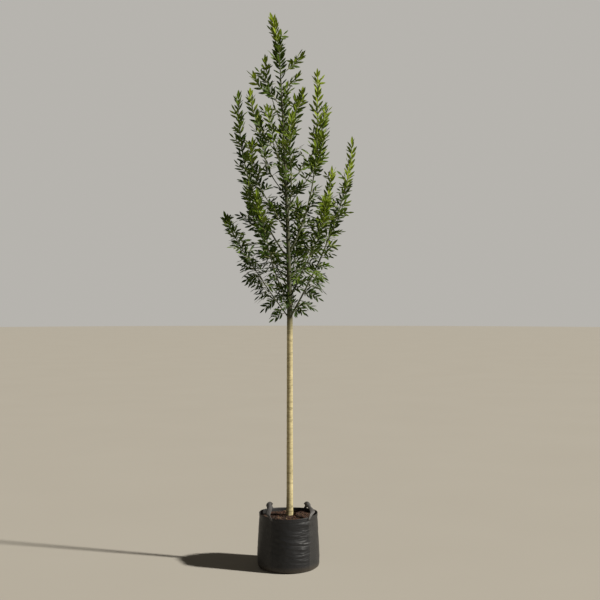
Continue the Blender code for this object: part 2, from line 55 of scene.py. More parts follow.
# Suns: the side they shine from, power, spread in degrees, colour
SUNS = {
    "key": ((0.800, -0.245, 0.545), 5.2, 3.0, (1.0, 0.96, 0.88)),
    "fill": ((-0.10, -0.90, 0.40), 0.10, 40.0, (0.98, 0.98, 0.98)),
}
FLOOR_RADIUS = 60.0
FLOOR_COLOURS = ((0.465, 0.435, 0.380), (0.490, 0.460, 0.405))

# Bag
BAG_HEIGHT = 0.346
BAG_FOOT_RADIUS = 0.174
BAG_BELLY_RADIUS = 0.200
BAG_RIM_RADIUS = 0.188
BAG_WALL = 0.0022
BAG_COLUMNS = 432
BAG_ROWS = 96
HEM_DEPTH = 0.020
HEM_PROUD = 0.0015
PANEL_BULGE = 0.0025
SEAM_BEARINGS = (58.0, 122.0, 237.0, 313.0)
RIM_LIFT = 0.010
# The front panel is coated smooth: bearing of its middle, half its width
COATED_BEARING, COATED_HALF = 275.0, 38.0
# Seams: two folded lips with a valley between, and a piped seam at the base
LIP_OFFSET, LIP_WIDTH, LIP_PROUD = 0.0055, 0.0028, 0.0011
VALLEY_WIDTH, VALLEY_DEPTH = 0.0026, 0.0012
SEAM_REACH = 0.020
HEM_EDGE = 0.0012
PIPING_HEIGHT, PIPING_WIDTH, PIPING_PROUD = 0.0125, 0.0030, 0.0016
STITCH_STEP = 0.0062
STITCH_SIZE = (0.0011, 0.0042, 0.0010)
# Loose cloth that folds: bearing of its middle, half its width, how loose
LOOSE_CLOTH = ((299.0, 17.0, 0.90), (269.0, 24.0, 0.62))
LOOSE_SUNK = 0.0016
FOLDS_BEARING = 296.0
FOLDS_CURVE = 0.9
FOLD_DEPTH, FINE_FOLD_DEPTH = 0.0058, 0.0026
SAG_DEPTH, RIPPLE_DEPTH = 0.0022, 0.0011
# One long fold where the cloth slumps below the hem
SLUMP_BEARING, SLUMP_HALF = 303.0, 20.0
SLUMP_DROP, SLUMP_WIDTH, SLUMP_DEPTH = 0.040, 0.016, 0.0060
# Creases that fan down from the straps' feet
DRAG_DEPTH, DRAG_LENGTH = 0.0020, 0.055

# Compost
COMPOST_TOP = 0.331
COMPOST_EDGE = 0.322
COMPOST_INSIDE = 0.0045
COMPOST_SIDES = (0.26, 0.19, 0.10, 0.04, 0.012)
COMPOST_COLUMNS, COMPOST_RINGS = 144, 40
# Lumps in its top: how close, which pattern, height
COMPOST_LUMPS = ((26, 1.3, 0.0045), (80, 4.9, 0.0022))
# Chips lie on a bed from the stem to just inside the cloth
BED_SIZE, BED_EDGE, BED_HOLE = 0.172, 0.166, 0.024
CHIP_TIP = 0.55
# Long, broad, thick
CHIP_SIZES = (
    (0.022, 0.011, 0.004),
    (0.016, 0.010, 0.004),
    (0.030, 0.007, 0.0032),
    (0.012, 0.009, 0.005),
    (0.036, 0.003, 0.0022),
)
# Number on a square metre, smallest and largest size, colour, seed
CHIPS = {
    "chips_dark": (9000.0, 0.55, 1.15, (0.040, 0.022, 0.014), 11),
    "chips_red": (7500.0, 0.50, 1.10, (0.120, 0.052, 0.030), 12),
    "chips_pale": (1900.0, 0.35, 0.85, (0.300, 0.205, 0.110), 13),
}
COMPOST_COLOUR = (0.035, 0.020, 0.013)

# Handles: name, the bearings of the two feet, and the share of its length by
# which it leans in fully
HANDLES = (("handle_left", 237.0, 122.0, 0.16), ("handle_right", 313.0, 418.0, 0.40))
STRAP_WIDTH = 0.036
STRAP_FOOT_WIDTH = 0.016
STRAP_THICK = 0.0030
STRAP_RISE = 0.067
STRAP_LAP = 0.014
STRAP_LEAN = 0.067
STRAP_TILT = 0.25
STRAP_FALL = 0.011
STRAP_GAP = 0.0012
STRAP_STEPS = 72

# Trunk
STEM_X = 0.009
CROWN_FOOT = 1.600
TRUNK_TOP = 3.215
TREE_TOP = 3.607
LEAN = 0.030
LEAN_POWER = 1.5
HOOK_FOOT = 3.300
HOOK = 0.50
SWAY = 0.006
SWAY_RATE = 2.3
FOOT_RADIUS = 0.0212
HEAD_RADIUS = 0.0186
TIP_RADIUS = 0.0018
TAPER_POWER = 1.3
FLARE = 0.0034
FLARE_HEIGHT = 0.038
TRUNK_SIDES = 28
TRUNK_STEP = 0.006
NODE_PROUD, NODE_WIDTH = 0.0005, 0.0045
LUMP_PROUD, FINE_LUMP_PROUD = 0.0006, 0.00035
LOBE_PROUD, LOBE_HEIGHT = 0.0016, 0.030
SCAR_PROUD = 0.0012
# The scar that shows best: height, bearing, size
CLEAR_SCAR = (1.568, 268.0, 0.0075)

# Boughs: name, height of the foot on the trunk, bearing, reach, height of the
# last leaf's tip, bow (1 is straight, more rises sooner) and the share that is
# bare
BOUGHS = (
    ("left_low", 1.605, 188, 0.410, 2.310, 1.15, 0.13),
    ("right_low", 1.612, 2, 0.405, 2.800, 1.60, 0.11),
    ("back_low", 1.660, 82, 0.370, 2.450, 1.50, 0.13),
    ("front_left_low", 1.700, 236, 0.350, 2.430, 1.50, 0.13),
    ("front_right_low", 1.740, 312, 0.340, 2.400, 1.50, 0.13),
    ("back_left_low", 1.790, 137, 0.380, 2.580, 1.60, 0.12),
    ("back_right_low", 1.860, 42, 0.380, 2.640, 1.80, 0.12),
    ("left_tall", 1.990, 183, 0.325, 3.095, 2.30, 0.12),
    ("right_tall", 2.028, 350, 0.190, 3.230, 3.60, 0.12),
    ("back_mid", 2.100, 97, 0.300, 2.960, 2.20, 0.12),
    ("left_front_mid", 2.160, 222, 0.300, 2.760, 1.90, 0.12),
    ("front_mid", 2.260, 277, 0.250, 2.920, 2.40, 0.13),
    ("right_front_mid", 2.330, 327, 0.270, 2.820, 1.80, 0.13),
    ("back_left_mid", 2.410, 136, 0.260, 3.000, 2.20, 0.12),
    ("back_right_mid", 2.470, 32, 0.305, 3.050, 1.90, 0.12),
    ("left_mid", 2.620, 187, 0.225, 3.110, 1.70, 0.14),
    ("front_left_high", 2.560, 238, 0.200, 2.980, 1.80, 0.14),
    ("front_right_high", 2.700, 300, 0.150, 3.050, 1.80, 0.14),
    ("back_high", 2.770, 84, 0.140, 3.190, 1.80, 0.14),
    ("right_high", 2.830, 8, 0.125, 3.130, 1.40, 0.16),
    ("left_high", 2.850, 174, 0.118, 3.330, 1.60, 0.15),
    ("right_top", 3.185, 4, 0.125, 3.365, 1.10, 0.10),
)
# Leafy spurs, which start on the trunk and have no bare part: the same values
SPURS = (
    ("spur_1", 1.720, 112, 0.110, 1.860, 1.30, 0.0),
    ("spur_2", 1.930, 196, 0.100, 2.080, 1.30, 0.0),
    ("spur_3", 2.060, 34, 0.110, 2.210, 1.30, 0.0),
    ("spur_4", 2.230, 158, 0.100, 2.390, 1.30, 0.0),
    ("spur_5", 2.380, 12, 0.100, 2.540, 1.30, 0.0),
    ("spur_6", 3.090, 5, 0.100, 3.235, 1.20, 0.0),
    ("spur_7", 2.990, 178, 0.175, 3.225, 1.30, 0.0),
)
BOUGH_RADIUS_PER_METRE = 0.0042
BOUGH_LEAST_RADIUS = 0.0012
BOUGH_TIP_RADIUS = 0.0012
BOUGH_TAPER_POWER = 0.9
BOUGH_SWAY = 0.010
BOUGH_SIDES = 9
BOUGH_STEP = 0.014
NODE_SWELL, NODE_LENGTH = 0.16, 0.008
COLLAR_SWELL, COLLAR_LENGTH = 0.45, 0.016
BOUGH_ROUGH = 0.10
# The leader starts this far above the trunk's top
LEADER_GAP = 0.0006

# Twigs stand in crossed pairs, longer and flatter low in the crown
PAIR_STEP = 0.094
PAIR_PLACE = 0.4
TWIG_LOW, TWIG_HIGH = 0.255, 0.142
TWIG_SIZES = (0.82, 1.16)
TWIG_SHORTENS = 0.45
TWIG_INWARD = 0.70
PAIR_TURN = 22.0
TURN_JITTER = 18.0
TILT_JITTER = 9.0
DROOP_LOW, DROOP_HIGH = 1.72, 2.45
POLAR_LOW, POLAR_HIGH = 110.0, 42.0
TIP_POLAR_LOW, TIP_POLAR_HIGH = 54.0, 24.0
TIP_LEAF = 0.065
TWIG_FOOT_RADIUS = 0.0019
TWIG_TIP_RADIUS = 0.0011
TWIG_SIDES = 4
TWIG_STEPS = 5
TWIG_ARCH = 0.07
# The most degrees that a twig's flat side is turned, and that it twists low and
# high in the crown
TWIG_ROLL = 75.0
TWIG_TWIST_LOW, TWIG_TWIST_HIGH = 40.0, 100.0
SINGLE_LENGTH = 0.135
# Finer pairs between the main ones: how many up to each height, their length
# as a share, and how many degrees wider they stand high in the crown
FILL = ((5, 2.05), (3, 2.30), (1, 2.72))
BETWEEN_LENGTH = 0.72
WIDER = 14.0
# Pairs of twigs on the feet of the lowest boughs, from this share of their
# bare part
LOW_FEET = 1.88
FOOT_PAIRS = 6
FOOT_FROM = 0.48
FOOT_LENGTH = 0.66
# A twig with no room is tried shorter, down to the least length
SHORTER = (1.0, 0.8, 0.64)
LEAST_TWIG = 0.045
# How far from the trunk the side twigs reach: (height, distance)
OUTLINE = ((1.62, 0.14), (1.70, 0.22), (1.84, 0.28), (2.04, 0.26), (2.16, 0.31), (2.28, 0.41),
           (3.60, 0.41))
SPACE_MARGIN = 0.004
LIMB_CLEAR = 0.002

# Leaves: those on twigs, those on the shoots themselves, and a twig's last.
# Width and thickness are shares of the length
LEAF_LENGTH = 0.050
SHOOT_LEAF_LENGTH = 0.058
END_LEAF = 0.041
LEAF_WIDTH = 0.27
LEAF_THICK = 0.012
# Three blades: width as a share of the usual, fold and droop
LEAF_BLADES = ((1.0, 0.30, 0.05), (1.12, 0.18, 0.10), (0.90, 0.42, 0.14))
LEAF_STEP = 0.0240
LEAF_BARE = 0.020
LEAF_SUNK = 0.0008
LEAF_ANGLE, LEAF_TIP_ANGLE = 50.0, 32.0
LEAF_ROLL = 28.0
LEAF_TURN = 8.0
LEAF_LIFT = 0.16
LEAF_SIZES = (0.84, 1.14)
SHOOT_LEAF_ANGLE, SHOOT_TIP_ANGLE = 46.0, 26.0
SHOOT_LEAF_TURN, STEM_LEAF_TURN = 20.0, 25.0
SHOOT_LEAF_STEP = 0.0200
LEADER_LEAF_STEP = 0.0092
STEM_LEAVES_FROM = 1.69
STEM_LEAF_STEP = 0.0180
SHOOT_LEAF_FROM = 0.40
LEADER_LEAF_FROM = 0.0
# Greens with sun and shade painted in, from the sunlit to the shaded, and the light that each one
# needs
TINTS = {
    "leaves_young": (0.215, 0.285, 0.016),
    "leaves_light": (0.135, 0.195, 0.008),
    "leaves_mid": (0.080, 0.130, 0.005),
    "leaves_deep": (0.046, 0.082, 0.003),
    "leaves_shaded": (0.026, 0.052, 0.002),
}
TINT_LIGHTS = (0.86, 0.62, 0.42, 0.24)
# What height, the place on the shoot, the distance from the trunk and the
# right side add to the light
TINT_WEIGHTS = (0.52, 0.31, 0.24, 0.12)
TINT_JITTER = 0.21
CROWN_HALF = 0.30
# The share of a shoot's own leaves that take its lower green, and how far up a
# shoot the leaves on the trunk count as
OWN_LOWER = 0.55
STEM_LEAF_SHARE = 0.4

# Barks: colour below, colour above, marks, and the heights it changes between
BARKS = {
    # The stem's colour above is greener bark with the crown's shade painted in
    "stem_bark": ((0.56, 0.475, 0.255), (0.032, 0.046, 0.018), (0.12, 0.10, 0.040),
                  CROWN_FOOT - 0.12, CROWN_FOOT + 0.03),
    "bough_bark": ((0.085, 0.095, 0.045), (0.14, 0.17, 0.055), (0.040, 0.042, 0.018),
                   CROWN_FOOT, TREE_TOP),
    "twig_bark": ((0.20, 0.22, 0.070), (0.42, 0.44, 0.150), (0.10, 0.11, 0.035),
                  CROWN_FOOT, TREE_TOP),
}
# Cloths: colour where coated, colour where the weave shows
CLOTHS = {
    "woven_cloth": ((0.0088, 0.0092, 0.0108), (0.0165, 0.0160, 0.0158)),
    "strap_cloth": ((0.062, 0.060, 0.060), (0.070, 0.067, 0.066)),
}
DUST_COLOUR = (0.105, 0.080, 0.052)
THREAD_COLOUR = (0.050, 0.050, 0.052)


def smooth(share):
    """From 0 to 1 with soft ends."""
    share = min(1.0, max(0.0, share))
    return share * share * (3 - 2 * share)


def bell(off, width):
    """1 in the middle, falling away softly on both sides."""
    return math.exp(-((off / width) ** 2))


def uneven(x, y, z):
    """Soft relief without a pattern, between about -1 and 1."""
    return noise.noise(Vector((x, y, z)))


def turn_between(bearing, other):
    """Degrees from one bearing to the other, the short way round."""
    return (bearing - other + 180) % 360 - 180


def add_object(name, mesh, material=None):
    """Puts a mesh in the scene as a piece of that name."""
    piece = bpy.data.objects.new(name, mesh)
    bpy.context.scene.collection.objects.link(piece)
    if material:
        mesh.materials.clear()
        mesh.materials.append(material)
    return piece


def mesh_of(name, corners, faces, **layers):
    """A smooth mesh, with a number for each corner in each named layer."""
    mesh = bpy.data.meshes.new(name)
    mesh.from_pydata(np.asarray(corners).tolist(), [], faces)
    mesh.shade_smooth()
    for label, values in layers.items():
        layer = mesh.attributes.new(label, "FLOAT", "POINT")
        layer.data.foreach_set("value", np.asarray(values, np.float32))
    return mesh


def finished(shape, name):
    """The edited shape as a mesh."""
    mesh = bpy.data.meshes.new(name)
    shape.to_mesh(mesh)
    shape.free()
    return mesh


def face_outwards(mesh):
    """Turns every face of a closed mesh to point out of it."""
    shape = bmesh.new()
    shape.from_mesh(mesh)
    bmesh.ops.recalc_face_normals(shape, faces=shape.faces)
    shape.to_mesh(mesh)
    shape.free()


def tube_faces(rings, sides):
    """Faces of a closed tube of rings, with a flat face at each end."""
    faces = []
    for ring in range(rings - 1):
        for side in range(sides):
            near, far = ring * sides + side, ring * sides + (side + 1) % sides
            faces.append((near, far, far + sides, near + sides))
    last = (rings - 1) * sides
    faces.append(tuple(range(sides - 1, -1, -1)))
    faces.append(tuple(range(last, last + sides)))
    return faces


def make_camera():
    """Level, in front of the tree."""
    camera = bpy.data.cameras.new("camera")
    camera.lens = CAMERA_LENS
    camera.sensor_width = 36.0
    holder = bpy.data.objects.new("camera", camera)
    holder.location = CAMERA_PLACE
    holder.rotation_euler = (math.radians(90), 0, 0)
    bpy.context.scene.collection.objects.link(holder)
    bpy.context.scene.camera = holder


# Node trees


class Nodes:
    """Adds nodes to a tree, with their inputs given by name or number."""

    def __init__(self, tree):
        self.tree = tree

    def add(self, kind, plugs=None, **settings):
        """A new node, with its settings made before its inputs are plugged."""
        node = self.tree.nodes.new(kind)
        for key, value in settings.items():
            setattr(node, key, value)
        for key, value in (plugs or {}).items():
            self.plug(node.inputs[key], value)
        return node

    def plug(self, socket, value):
        """Links a socket, or gives it a plain value."""
        if isinstance(value, bpy.types.NodeSocket):
            self.tree.links.new(value, socket)
        else:
            socket.default_value = value

    def math(self, operation, first, second=0.0):
        plugs = {0: first, 1: second}
        return self.add("ShaderNodeMath", plugs, operation=operation).outputs[0]

    def spread(self, value, low, high, to_low=0.0, to_high=1.0):
        """The value with its range from low to high laid over another range."""
        plugs = {0: value, 1: low, 2: high, 3: to_low, 4: to_high}
        return self.add("ShaderNodeMapRange", plugs).outputs[0]

    def blend(self, share, first, second):
        """A colour between two colours."""
        node = self.add("ShaderNodeMix", data_type="RGBA", blend_type="MIX")
        for socket, value in zip((node.inputs[0], node.inputs[6], node.inputs[7]),
                                 (share, first, second)):
            if isinstance(value, tuple):
                value = (*value, 1.0)
            self.plug(socket, value)
        return node.outputs[2]

    def cover(self, colour, mask, amount, other):
        """Lays the other colour over this one, by the mask times the amount."""
        return self.blend(self.math("MULTIPLY", mask, amount), colour, other)

    def noise(self, vector, scale, detail=2.0, rough=0.5):
        plugs = {"Vector": vector, "Scale": scale, "Detail": detail, "Roughness": rough}
        return self.add("ShaderNodeTexNoise", plugs).outputs["Fac"]


def shader_group(name, inputs, outputs):
    """An empty shader group with named sockets: (nodes, input, output)."""
    tree = bpy.data.node_groups.new(name, "ShaderNodeTree")
    for label, kind, value in inputs:
        socket = tree.interface.new_socket(label, in_out="INPUT", socket_type=kind)
        if value is not None:
            socket.default_value = value
    for label in outputs:
        tree.interface.new_socket(label, in_out="OUTPUT", socket_type="NodeSocketFloat")
    nodes = Nodes(tree)
    given = nodes.add("NodeGroupInput").outputs
    result = nodes.add("NodeGroupOutput").inputs
    return nodes, given, result


def mottle_group():
    """Soft patches with fine grain in them."""
    nodes, given, result = shader_group(
        "mottle",
        (
            ("Vector", "NodeSocketVector", None),
            ("Patches", "NodeSocketFloat", 8.0),
            ("Grain", "NodeSocketFloat", 160.0),
        ),
        ("Patches", "Grain"),
    )
    patches = nodes.noise(given["Vector"], given["Patches"], 3.0, 0.55)
    grain = nodes.noise(given["Vector"], given["Grain"], 2.0, 0.6)
    nodes.plug(result["Patches"], nodes.spread(patches, 0.32, 0.68))
    nodes.plug(result["Grain"], nodes.spread(grain, 0.28, 0.72))
    return nodes.tree


def weave_group():
    """Flat tapes crossing over and under, on a pattern laid out in metres."""
    nodes, given, result = shader_group(
        "weave",
        (
            ("Vector", "NodeSocketVector", None),
            ("Tapes", "NodeSocketFloat", 250.0),
        ),
        ("Height", "Over"),
    )
    across = nodes.add("ShaderNodeSeparateXYZ", {0: given["Vector"]}).outputs
    u = nodes.math("MULTIPLY", across[0], given["Tapes"])
    v = nodes.math("MULTIPLY", across[1], given["Tapes"])
    cells = nodes.math("ADD", nodes.math("FLOOR", u), nodes.math("FLOOR", v))
    over = nodes.math("FLOORED_MODULO", cells, 2.0)
    rise_u = nodes.math("ABSOLUTE", nodes.math("SINE", nodes.math("MULTIPLY", u, math.pi)))
    rise_v = nodes.math("ABSOLUTE", nodes.math("SINE", nodes.math("MULTIPLY", v, math.pi)))
    under = nodes.math("SUBTRACT", 1.0, over)
    height = nodes.math(
        "ADD", nodes.math("MULTIPLY", rise_u, over), nodes.math("MULTIPLY", rise_v, under)
    )
    nodes.plug(result["Height"], height)
    nodes.plug(result["Over"], over)
    return nodes.tree


def new_material(name):
    """(material, its nodes, its shader's inputs)"""
    material = bpy.data.materials.new(name)
    material.use_nodes = True
    nodes = Nodes(material.node_tree)
    shader = material.node_tree.nodes["Principled BSDF"].inputs
    return material, nodes, shader


def use_group(nodes, tree, plugs):
    """Places a shader group with its own values, and gives its outputs."""
    group = nodes.add("ShaderNodeGroup", node_tree=tree)
    for key, value in plugs.items():
        nodes.plug(group.inputs[key], value)
    return group.outputs


def object_place(nodes):
    """The place on the object, in metres."""
    return nodes.add("ShaderNodeTexCoord").outputs["Object"]


def bump(nodes, height, strength, distance):
    """A normal that follows a height."""
    plugs = {"Height": height, "Strength": strength, "Distance": distance}
    return nodes.add("ShaderNodeBump", plugs).outputs["Normal"]


def attribute(nodes, name):
    """The number that each corner of the mesh holds under this name."""
    return nodes.add("ShaderNodeAttribute", attribute_name=name).outputs["Fac"]


def shade(colour, factor):
    """The colour made darker or lighter."""
    return tuple(factor * c for c in colour)


def patchy(nodes, mottle, patches, grain):
    """(place, masks of patches and grain) by the object's own coordinates."""
    place = object_place(nodes)
    plugs = {"Vector": place, "Patches": patches, "Grain": grain}
    return place, use_group(nodes, mottle, plugs)


def leaf_material(name, colour, mottle):
    """A waxy leaf: the plain green of its tint, with painted sun or shade in it, a little uneven.
    """
    material, nodes, shader = new_material(name)
    _, masks = patchy(nodes, mottle, 9.0, 120.0)
    green = nodes.blend(masks["Grain"], shade(colour, 0.80), shade(colour, 1.16))
    nodes.plug(shader["Base Color"], green)
    nodes.plug(shader["Roughness"], nodes.spread(masks["Patches"], 0, 1, 0.46, 0.60))
    shader["Specular IOR Level"].default_value = 0.22
    return material


def bark_material(name, mottle, low, high, marks, from_height, to_height):
    """Smooth young bark that changes colour up the tree, with fine level bands. On the stem the
    colour above is greener bark darkened by painted shade of the crown.
    """
    material, nodes, shader = new_material(name)
    place, masks = patchy(nodes, mottle, 14.0, 260.0)
    height = nodes.add("ShaderNodeSeparateXYZ", {0: place}).outputs[2]
    squat = nodes.add("ShaderNodeMapping", {"Vector": place, "Scale": (26.0, 26.0, 150.0)})
    bands = nodes.noise(squat.outputs[0], 1.0, 3.0, 0.6)
    # Colour by height; on the stem the colour above has the crown's shade painted in
    colour = nodes.blend(nodes.spread(height, from_height, to_height), low, high)
    colour = nodes.blend(nodes.spread(bands, 0.52, 0.66, 0.0, 0.62), colour, marks)
    colour = nodes.cover(colour, masks["Patches"], 0.28, marks)
    colour = nodes.blend(attribute(nodes, "mark"), colour, marks)
    nodes.plug(shader["Base Color"], colour)
    nodes.plug(shader["Roughness"], nodes.spread(masks["Grain"], 0, 1, 0.55, 0.78))
    relief = nodes.math("ADD", bands, nodes.math("MULTIPLY", masks["Grain"], 0.35))
    nodes.plug(shader["Normal"], bump(nodes, relief, 0.45, 0.0012))
    return material


def bag_material(name, mottle, weave, plain, woven):
    """Woven tape cloth: smooth where coated, speckled where the weave shows."""
    material, nodes, shader = new_material(name)
    place, masks = patchy(nodes, mottle, 16.0, 190.0)
    height = nodes.add("ShaderNodeSeparateXYZ", {0: place}).outputs[2]
    laid = nodes.add("ShaderNodeUVMap", uv_map="cloth").outputs[0]
    tapes = use_group(nodes, weave, {"Vector": laid, "Tapes": 240.0})
    side = attribute(nodes, "woven")
    colour = nodes.blend(side, plain, woven)
    speckle = nodes.math("MULTIPLY", tapes["Over"], 0.45)
    colour = nodes.cover(colour, side, speckle, shade(woven, 2.6))
    colour = nodes.cover(colour, masks["Patches"], 0.35, shade(plain, 0.55))
    dusty = nodes.spread(height, 0.004, 0.045, 0.75, 0.0)
    colour = nodes.cover(colour, dusty, masks["Grain"], DUST_COLOUR)
    nodes.plug(shader["Base Color"], colour)
    nodes.plug(shader["Roughness"], nodes.spread(masks["Grain"], 0, 1, 0.40, 0.62))
    amount = nodes.spread(side, 0.0, 1.0, 0.25, 1.0)
    relief = nodes.math("MULTIPLY", tapes["Height"], amount)
    relief = nodes.math("ADD", relief, nodes.math("MULTIPLY", masks["Grain"], 0.25))
    nodes.plug(shader["Normal"], bump(nodes, relief, 0.5, 0.0007))
    shader["Specular IOR Level"].default_value = 0.40
    shader["Sheen Weight"].default_value = 0.03
    return material


def compost_material(name, mottle, colour):
    """Damp bark and fibre."""
    material, nodes, shader = new_material(name)
    _, masks = patchy(nodes, mottle, 45.0, 420.0)
    brown = nodes.blend(masks["Patches"], shade(colour, 0.5), colour)
    brown = nodes.cover(brown, masks["Grain"], 0.35, shade(colour, 1.7))
    nodes.plug(shader["Base Color"], brown)
    nodes.plug(shader["Roughness"], nodes.spread(masks["Grain"], 0, 1, 0.72, 0.95))
    nodes.plug(shader["Normal"], bump(nodes, masks["Grain"], 0.6, 0.0012))
    return material


def thread_material(name, colour):
    """Twisted thread."""
    material, nodes, shader = new_material(name)
    twist = nodes.noise(object_place(nodes), 900.0, 1.0)
    nodes.plug(shader["Base Color"], nodes.blend(twist, shade(colour, 0.7), colour))
    nodes.plug(shader["Roughness"], nodes.spread(twist, 0.3, 0.7, 0.5, 0.7))
    return material


# Geometry node trees


def geometry_tree(name, inputs):
    """A tree that takes a mesh: (nodes, given, identifiers of its inputs)."""
    tree = bpy.data.node_groups.new(name, "GeometryNodeTree")
    face = tree.interface
    face.new_socket("Geometry", in_out="INPUT", socket_type="NodeSocketGeometry")
    names = {}
    for label, kind in inputs:
        socket = face.new_socket(label, in_out="INPUT", socket_type=kind)
        names[label] = socket.identifier
    face.new_socket("Geometry", in_out="OUTPUT", socket_type="NodeSocketGeometry")
    nodes = Nodes(tree)
    return nodes, nodes.add("NodeGroupInput").outputs, names


def chance(nodes, given, kind, low, high):
    """A value between low and high for each copy."""
    least, most, out = {"FLOAT_VECTOR": (0, 1, 0), "FLOAT": (2, 3, 1), "INT": (4, 5, 2)}[kind]
    plugs = {least: low, most: high, "Seed": given["Seed"]}
    return nodes.add("FunctionNodeRandomValue", plugs, data_type=kind).outputs[out]


def end_tree(nodes, given, points, last_shape, turn, size):
    """Copies one of the shapes to each point, as real faces with a material."""
    shapes = nodes.add(
        "GeometryNodeCollectionInfo",
        {"Collection": given["Shapes"], "Separate Children": True, "Reset Children": True},
    ).outputs[0]
    copies = nodes.add(
        "GeometryNodeInstanceOnPoints",
        {
            "Points": points,
            "Instance": shapes,
            "Pick Instance": True,
            "Instance Index": chance(nodes, given, "INT", 0, last_shape),
            "Rotation": turn,
            "Scale": size,
        },
    ).outputs[0]
    real = nodes.add("GeometryNodeRealizeInstances", {0: copies}).outputs[0]
    plugs = {"Geometry": real, "Material": given["Material"]}
    done = nodes.add("GeometryNodeSetMaterial", plugs).outputs[0]
    nodes.plug(nodes.add("NodeGroupOutput").inputs[0], done)


def grown(name, base, tree, names, values):
    """The mesh that a tree makes from a base object, as a plain piece."""
    modifier = base.modifiers.new("grow", "NODES")
    modifier.node_group = tree
    for label, value in values.items():
        modifier[names[label]] = value
    bpy.context.view_layer.update()
    graph = bpy.context.evaluated_depsgraph_get()
    mesh = bpy.data.meshes.new_from_object(base.evaluated_get(graph))
    base.modifiers.remove(modifier)
    return add_object(name, mesh)


def hidden_collection(name, meshes):
    """Shapes to copy, kept out of the scene itself."""
    collection = bpy.data.collections.new(name)
    for number, mesh in enumerate(meshes):
        collection.objects.link(bpy.data.objects.new(f"{name}_{number}", mesh))
    return collection


def deal_tree():
    """Puts one of three shapes at each point, aimed and sized by the point."""
    nodes, given, names = geometry_tree(
        "deal_shapes",
        (
            ("Shapes", "NodeSocketCollection"),
            ("Size", "NodeSocketFloat"),
            ("Seed", "NodeSocketInt"),
            ("Material", "NodeSocketMaterial"),
        ),
    )
    named = "GeometryNodeInputNamedAttribute"
    aim = nodes.add(named, {"Name": "aim"}, data_type="FLOAT_VECTOR").outputs[0]
    face = nodes.add(named, {"Name": "face"}, data_type="FLOAT_VECTOR").outputs[0]
    size = nodes.add(named, {"Name": "size"}, data_type="FLOAT").outputs[0]
    turn = nodes.add(
        "FunctionNodeAxesToRotation",
        {"Primary Axis": aim, "Secondary Axis": face},
        primary_axis="Y",
        secondary_axis="Z",
    ).outputs[0]
    size = nodes.math("MULTIPLY", size, given["Size"])
    end_tree(nodes, given, given["Geometry"], 2, turn, size)
    return nodes.tree, names


def scatter_tree():
    """Scatters shapes over a surface, each tipped and turned by chance."""
    nodes, given, names = geometry_tree(
        "scatter_chips",
        (
            ("Shapes", "NodeSocketCollection"),
            ("Density", "NodeSocketFloat"),
            ("Smallest", "NodeSocketFloat"),
            ("Largest", "NodeSocketFloat"),
            ("Tip", "NodeSocketFloat"),
            ("Seed", "NodeSocketInt"),
            ("Material", "NodeSocketMaterial"),
        ),
    )
    spots = nodes.add(
        "GeometryNodeDistributePointsOnFaces",
        {"Mesh": given["Geometry"], "Density": given["Density"], "Seed": given["Seed"]},
    ).outputs["Points"]
    most = nodes.add("ShaderNodeCombineXYZ", {0: given["Tip"], 1: given["Tip"], 2: math.pi})
    most = most.outputs[0]
    least = nodes.add("ShaderNodeVectorMath", {0: most, 1: (-1, -1, -1)}, operation="MULTIPLY")
    turn = chance(nodes, given, "FLOAT_VECTOR", least.outputs[0], most)
    size = chance(nodes, given, "FLOAT", given["Smallest"], given["Largest"])
    end_tree(nodes, given, spots, len(CHIP_SIZES) - 1, turn, size)
    return nodes.tree, names


# The growth rule, the same as the solids'


def trunk_point(z):
    """Centre of the trunk at height z: upright, then leaning to the left."""
    rise = max(0.0, z - CROWN_FOOT)
    hook = max(0.0, z - HOOK_FOOT)
    x = STEM_X - LEAN * rise**LEAN_POWER - HOOK * hook**2
    return Vector((x, SWAY * math.sin(SWAY_RATE * (z - COMPOST_TOP)), z))


def trunk_radius(z):
    """Clear stem with a small root flare, then the leader's taper."""
    if z < CROWN_FOOT:
        share = (z - COMPOST_TOP) / (CROWN_FOOT - COMPOST_TOP)
        flare = FLARE * math.exp(-(z - COMPOST_TOP) / FLARE_HEIGHT)
        return FOOT_RADIUS + (HEAD_RADIUS - FOOT_RADIUS) * share + flare
    share = min(1.0, (z - CROWN_FOOT) / (TREE_TOP - CROWN_FOOT))
    return TIP_RADIUS + (HEAD_RADIUS - TIP_RADIUS) * (1 - share) ** TAPER_POWER


class Shoot:
    """An axis from the trunk to its tip, with a bare part and a leafy part."""

    def __init__(self, name, foot, bearing, reach, tip, bow, bare):
        self.name = name
        self.foot = foot
        self.bearing = math.radians(bearing)
        self.reach = reach
        self.tip = tip - TIP_LEAF
        self.bow = bow
        self.bare = bare
        self.sway = BOUGH_SWAY * random.Random(f"{SEED} sway {name}").choice((-1, 1))
        steps = [self.point(i / 20) for i in range(21)]
        self.length = sum((b - a).length for a, b in zip(steps, steps[1:]))

    def point(self, share):
        """Where the axis is at this share of its rise."""
        out = self.reach * (1 - (1 - share) ** self.bow)
        aside = self.sway * math.sin(2 * math.pi * share)
        c, s = math.cos(self.bearing), math.sin(self.bearing)
        offset = Vector((out * c - aside * s, out * s + aside * c, 0.0))
        offset.z = (self.tip - self.foot) * share
        return trunk_point(self.foot) + offset

    def along(self, share):
        """Direction of growth at this share."""
        low, high = max(0.0, share - 0.01), min(1.0, share + 0.01)
        return (self.point(high) - self.point(low)).normalized()

    def radius(self, share):
        """Half the thickness, which tapers to the tip."""
        wide = BOUGH_LEAST_RADIUS + BOUGH_RADIUS_PER_METRE * self.length
        taper = (1 - share) ** BOUGH_TAPER_POWER
        return BOUGH_TIP_RADIUS + (wide - BOUGH_TIP_RADIUS) * taper


class Leader(Shoot):
    """The trunk's own top, which carries twigs as a bough does."""

    def __init__(self):
        super().__init__("leader", TRUNK_TOP + LEADER_GAP, 180, 0.2, TREE_TOP, 1.0, 0.0)

    def point(self, share):
        return trunk_point(self.foot + (self.tip - self.foot) * share)

    def radius(self, share):
        return trunk_radius(self.foot + (self.tip - self.foot) * share)


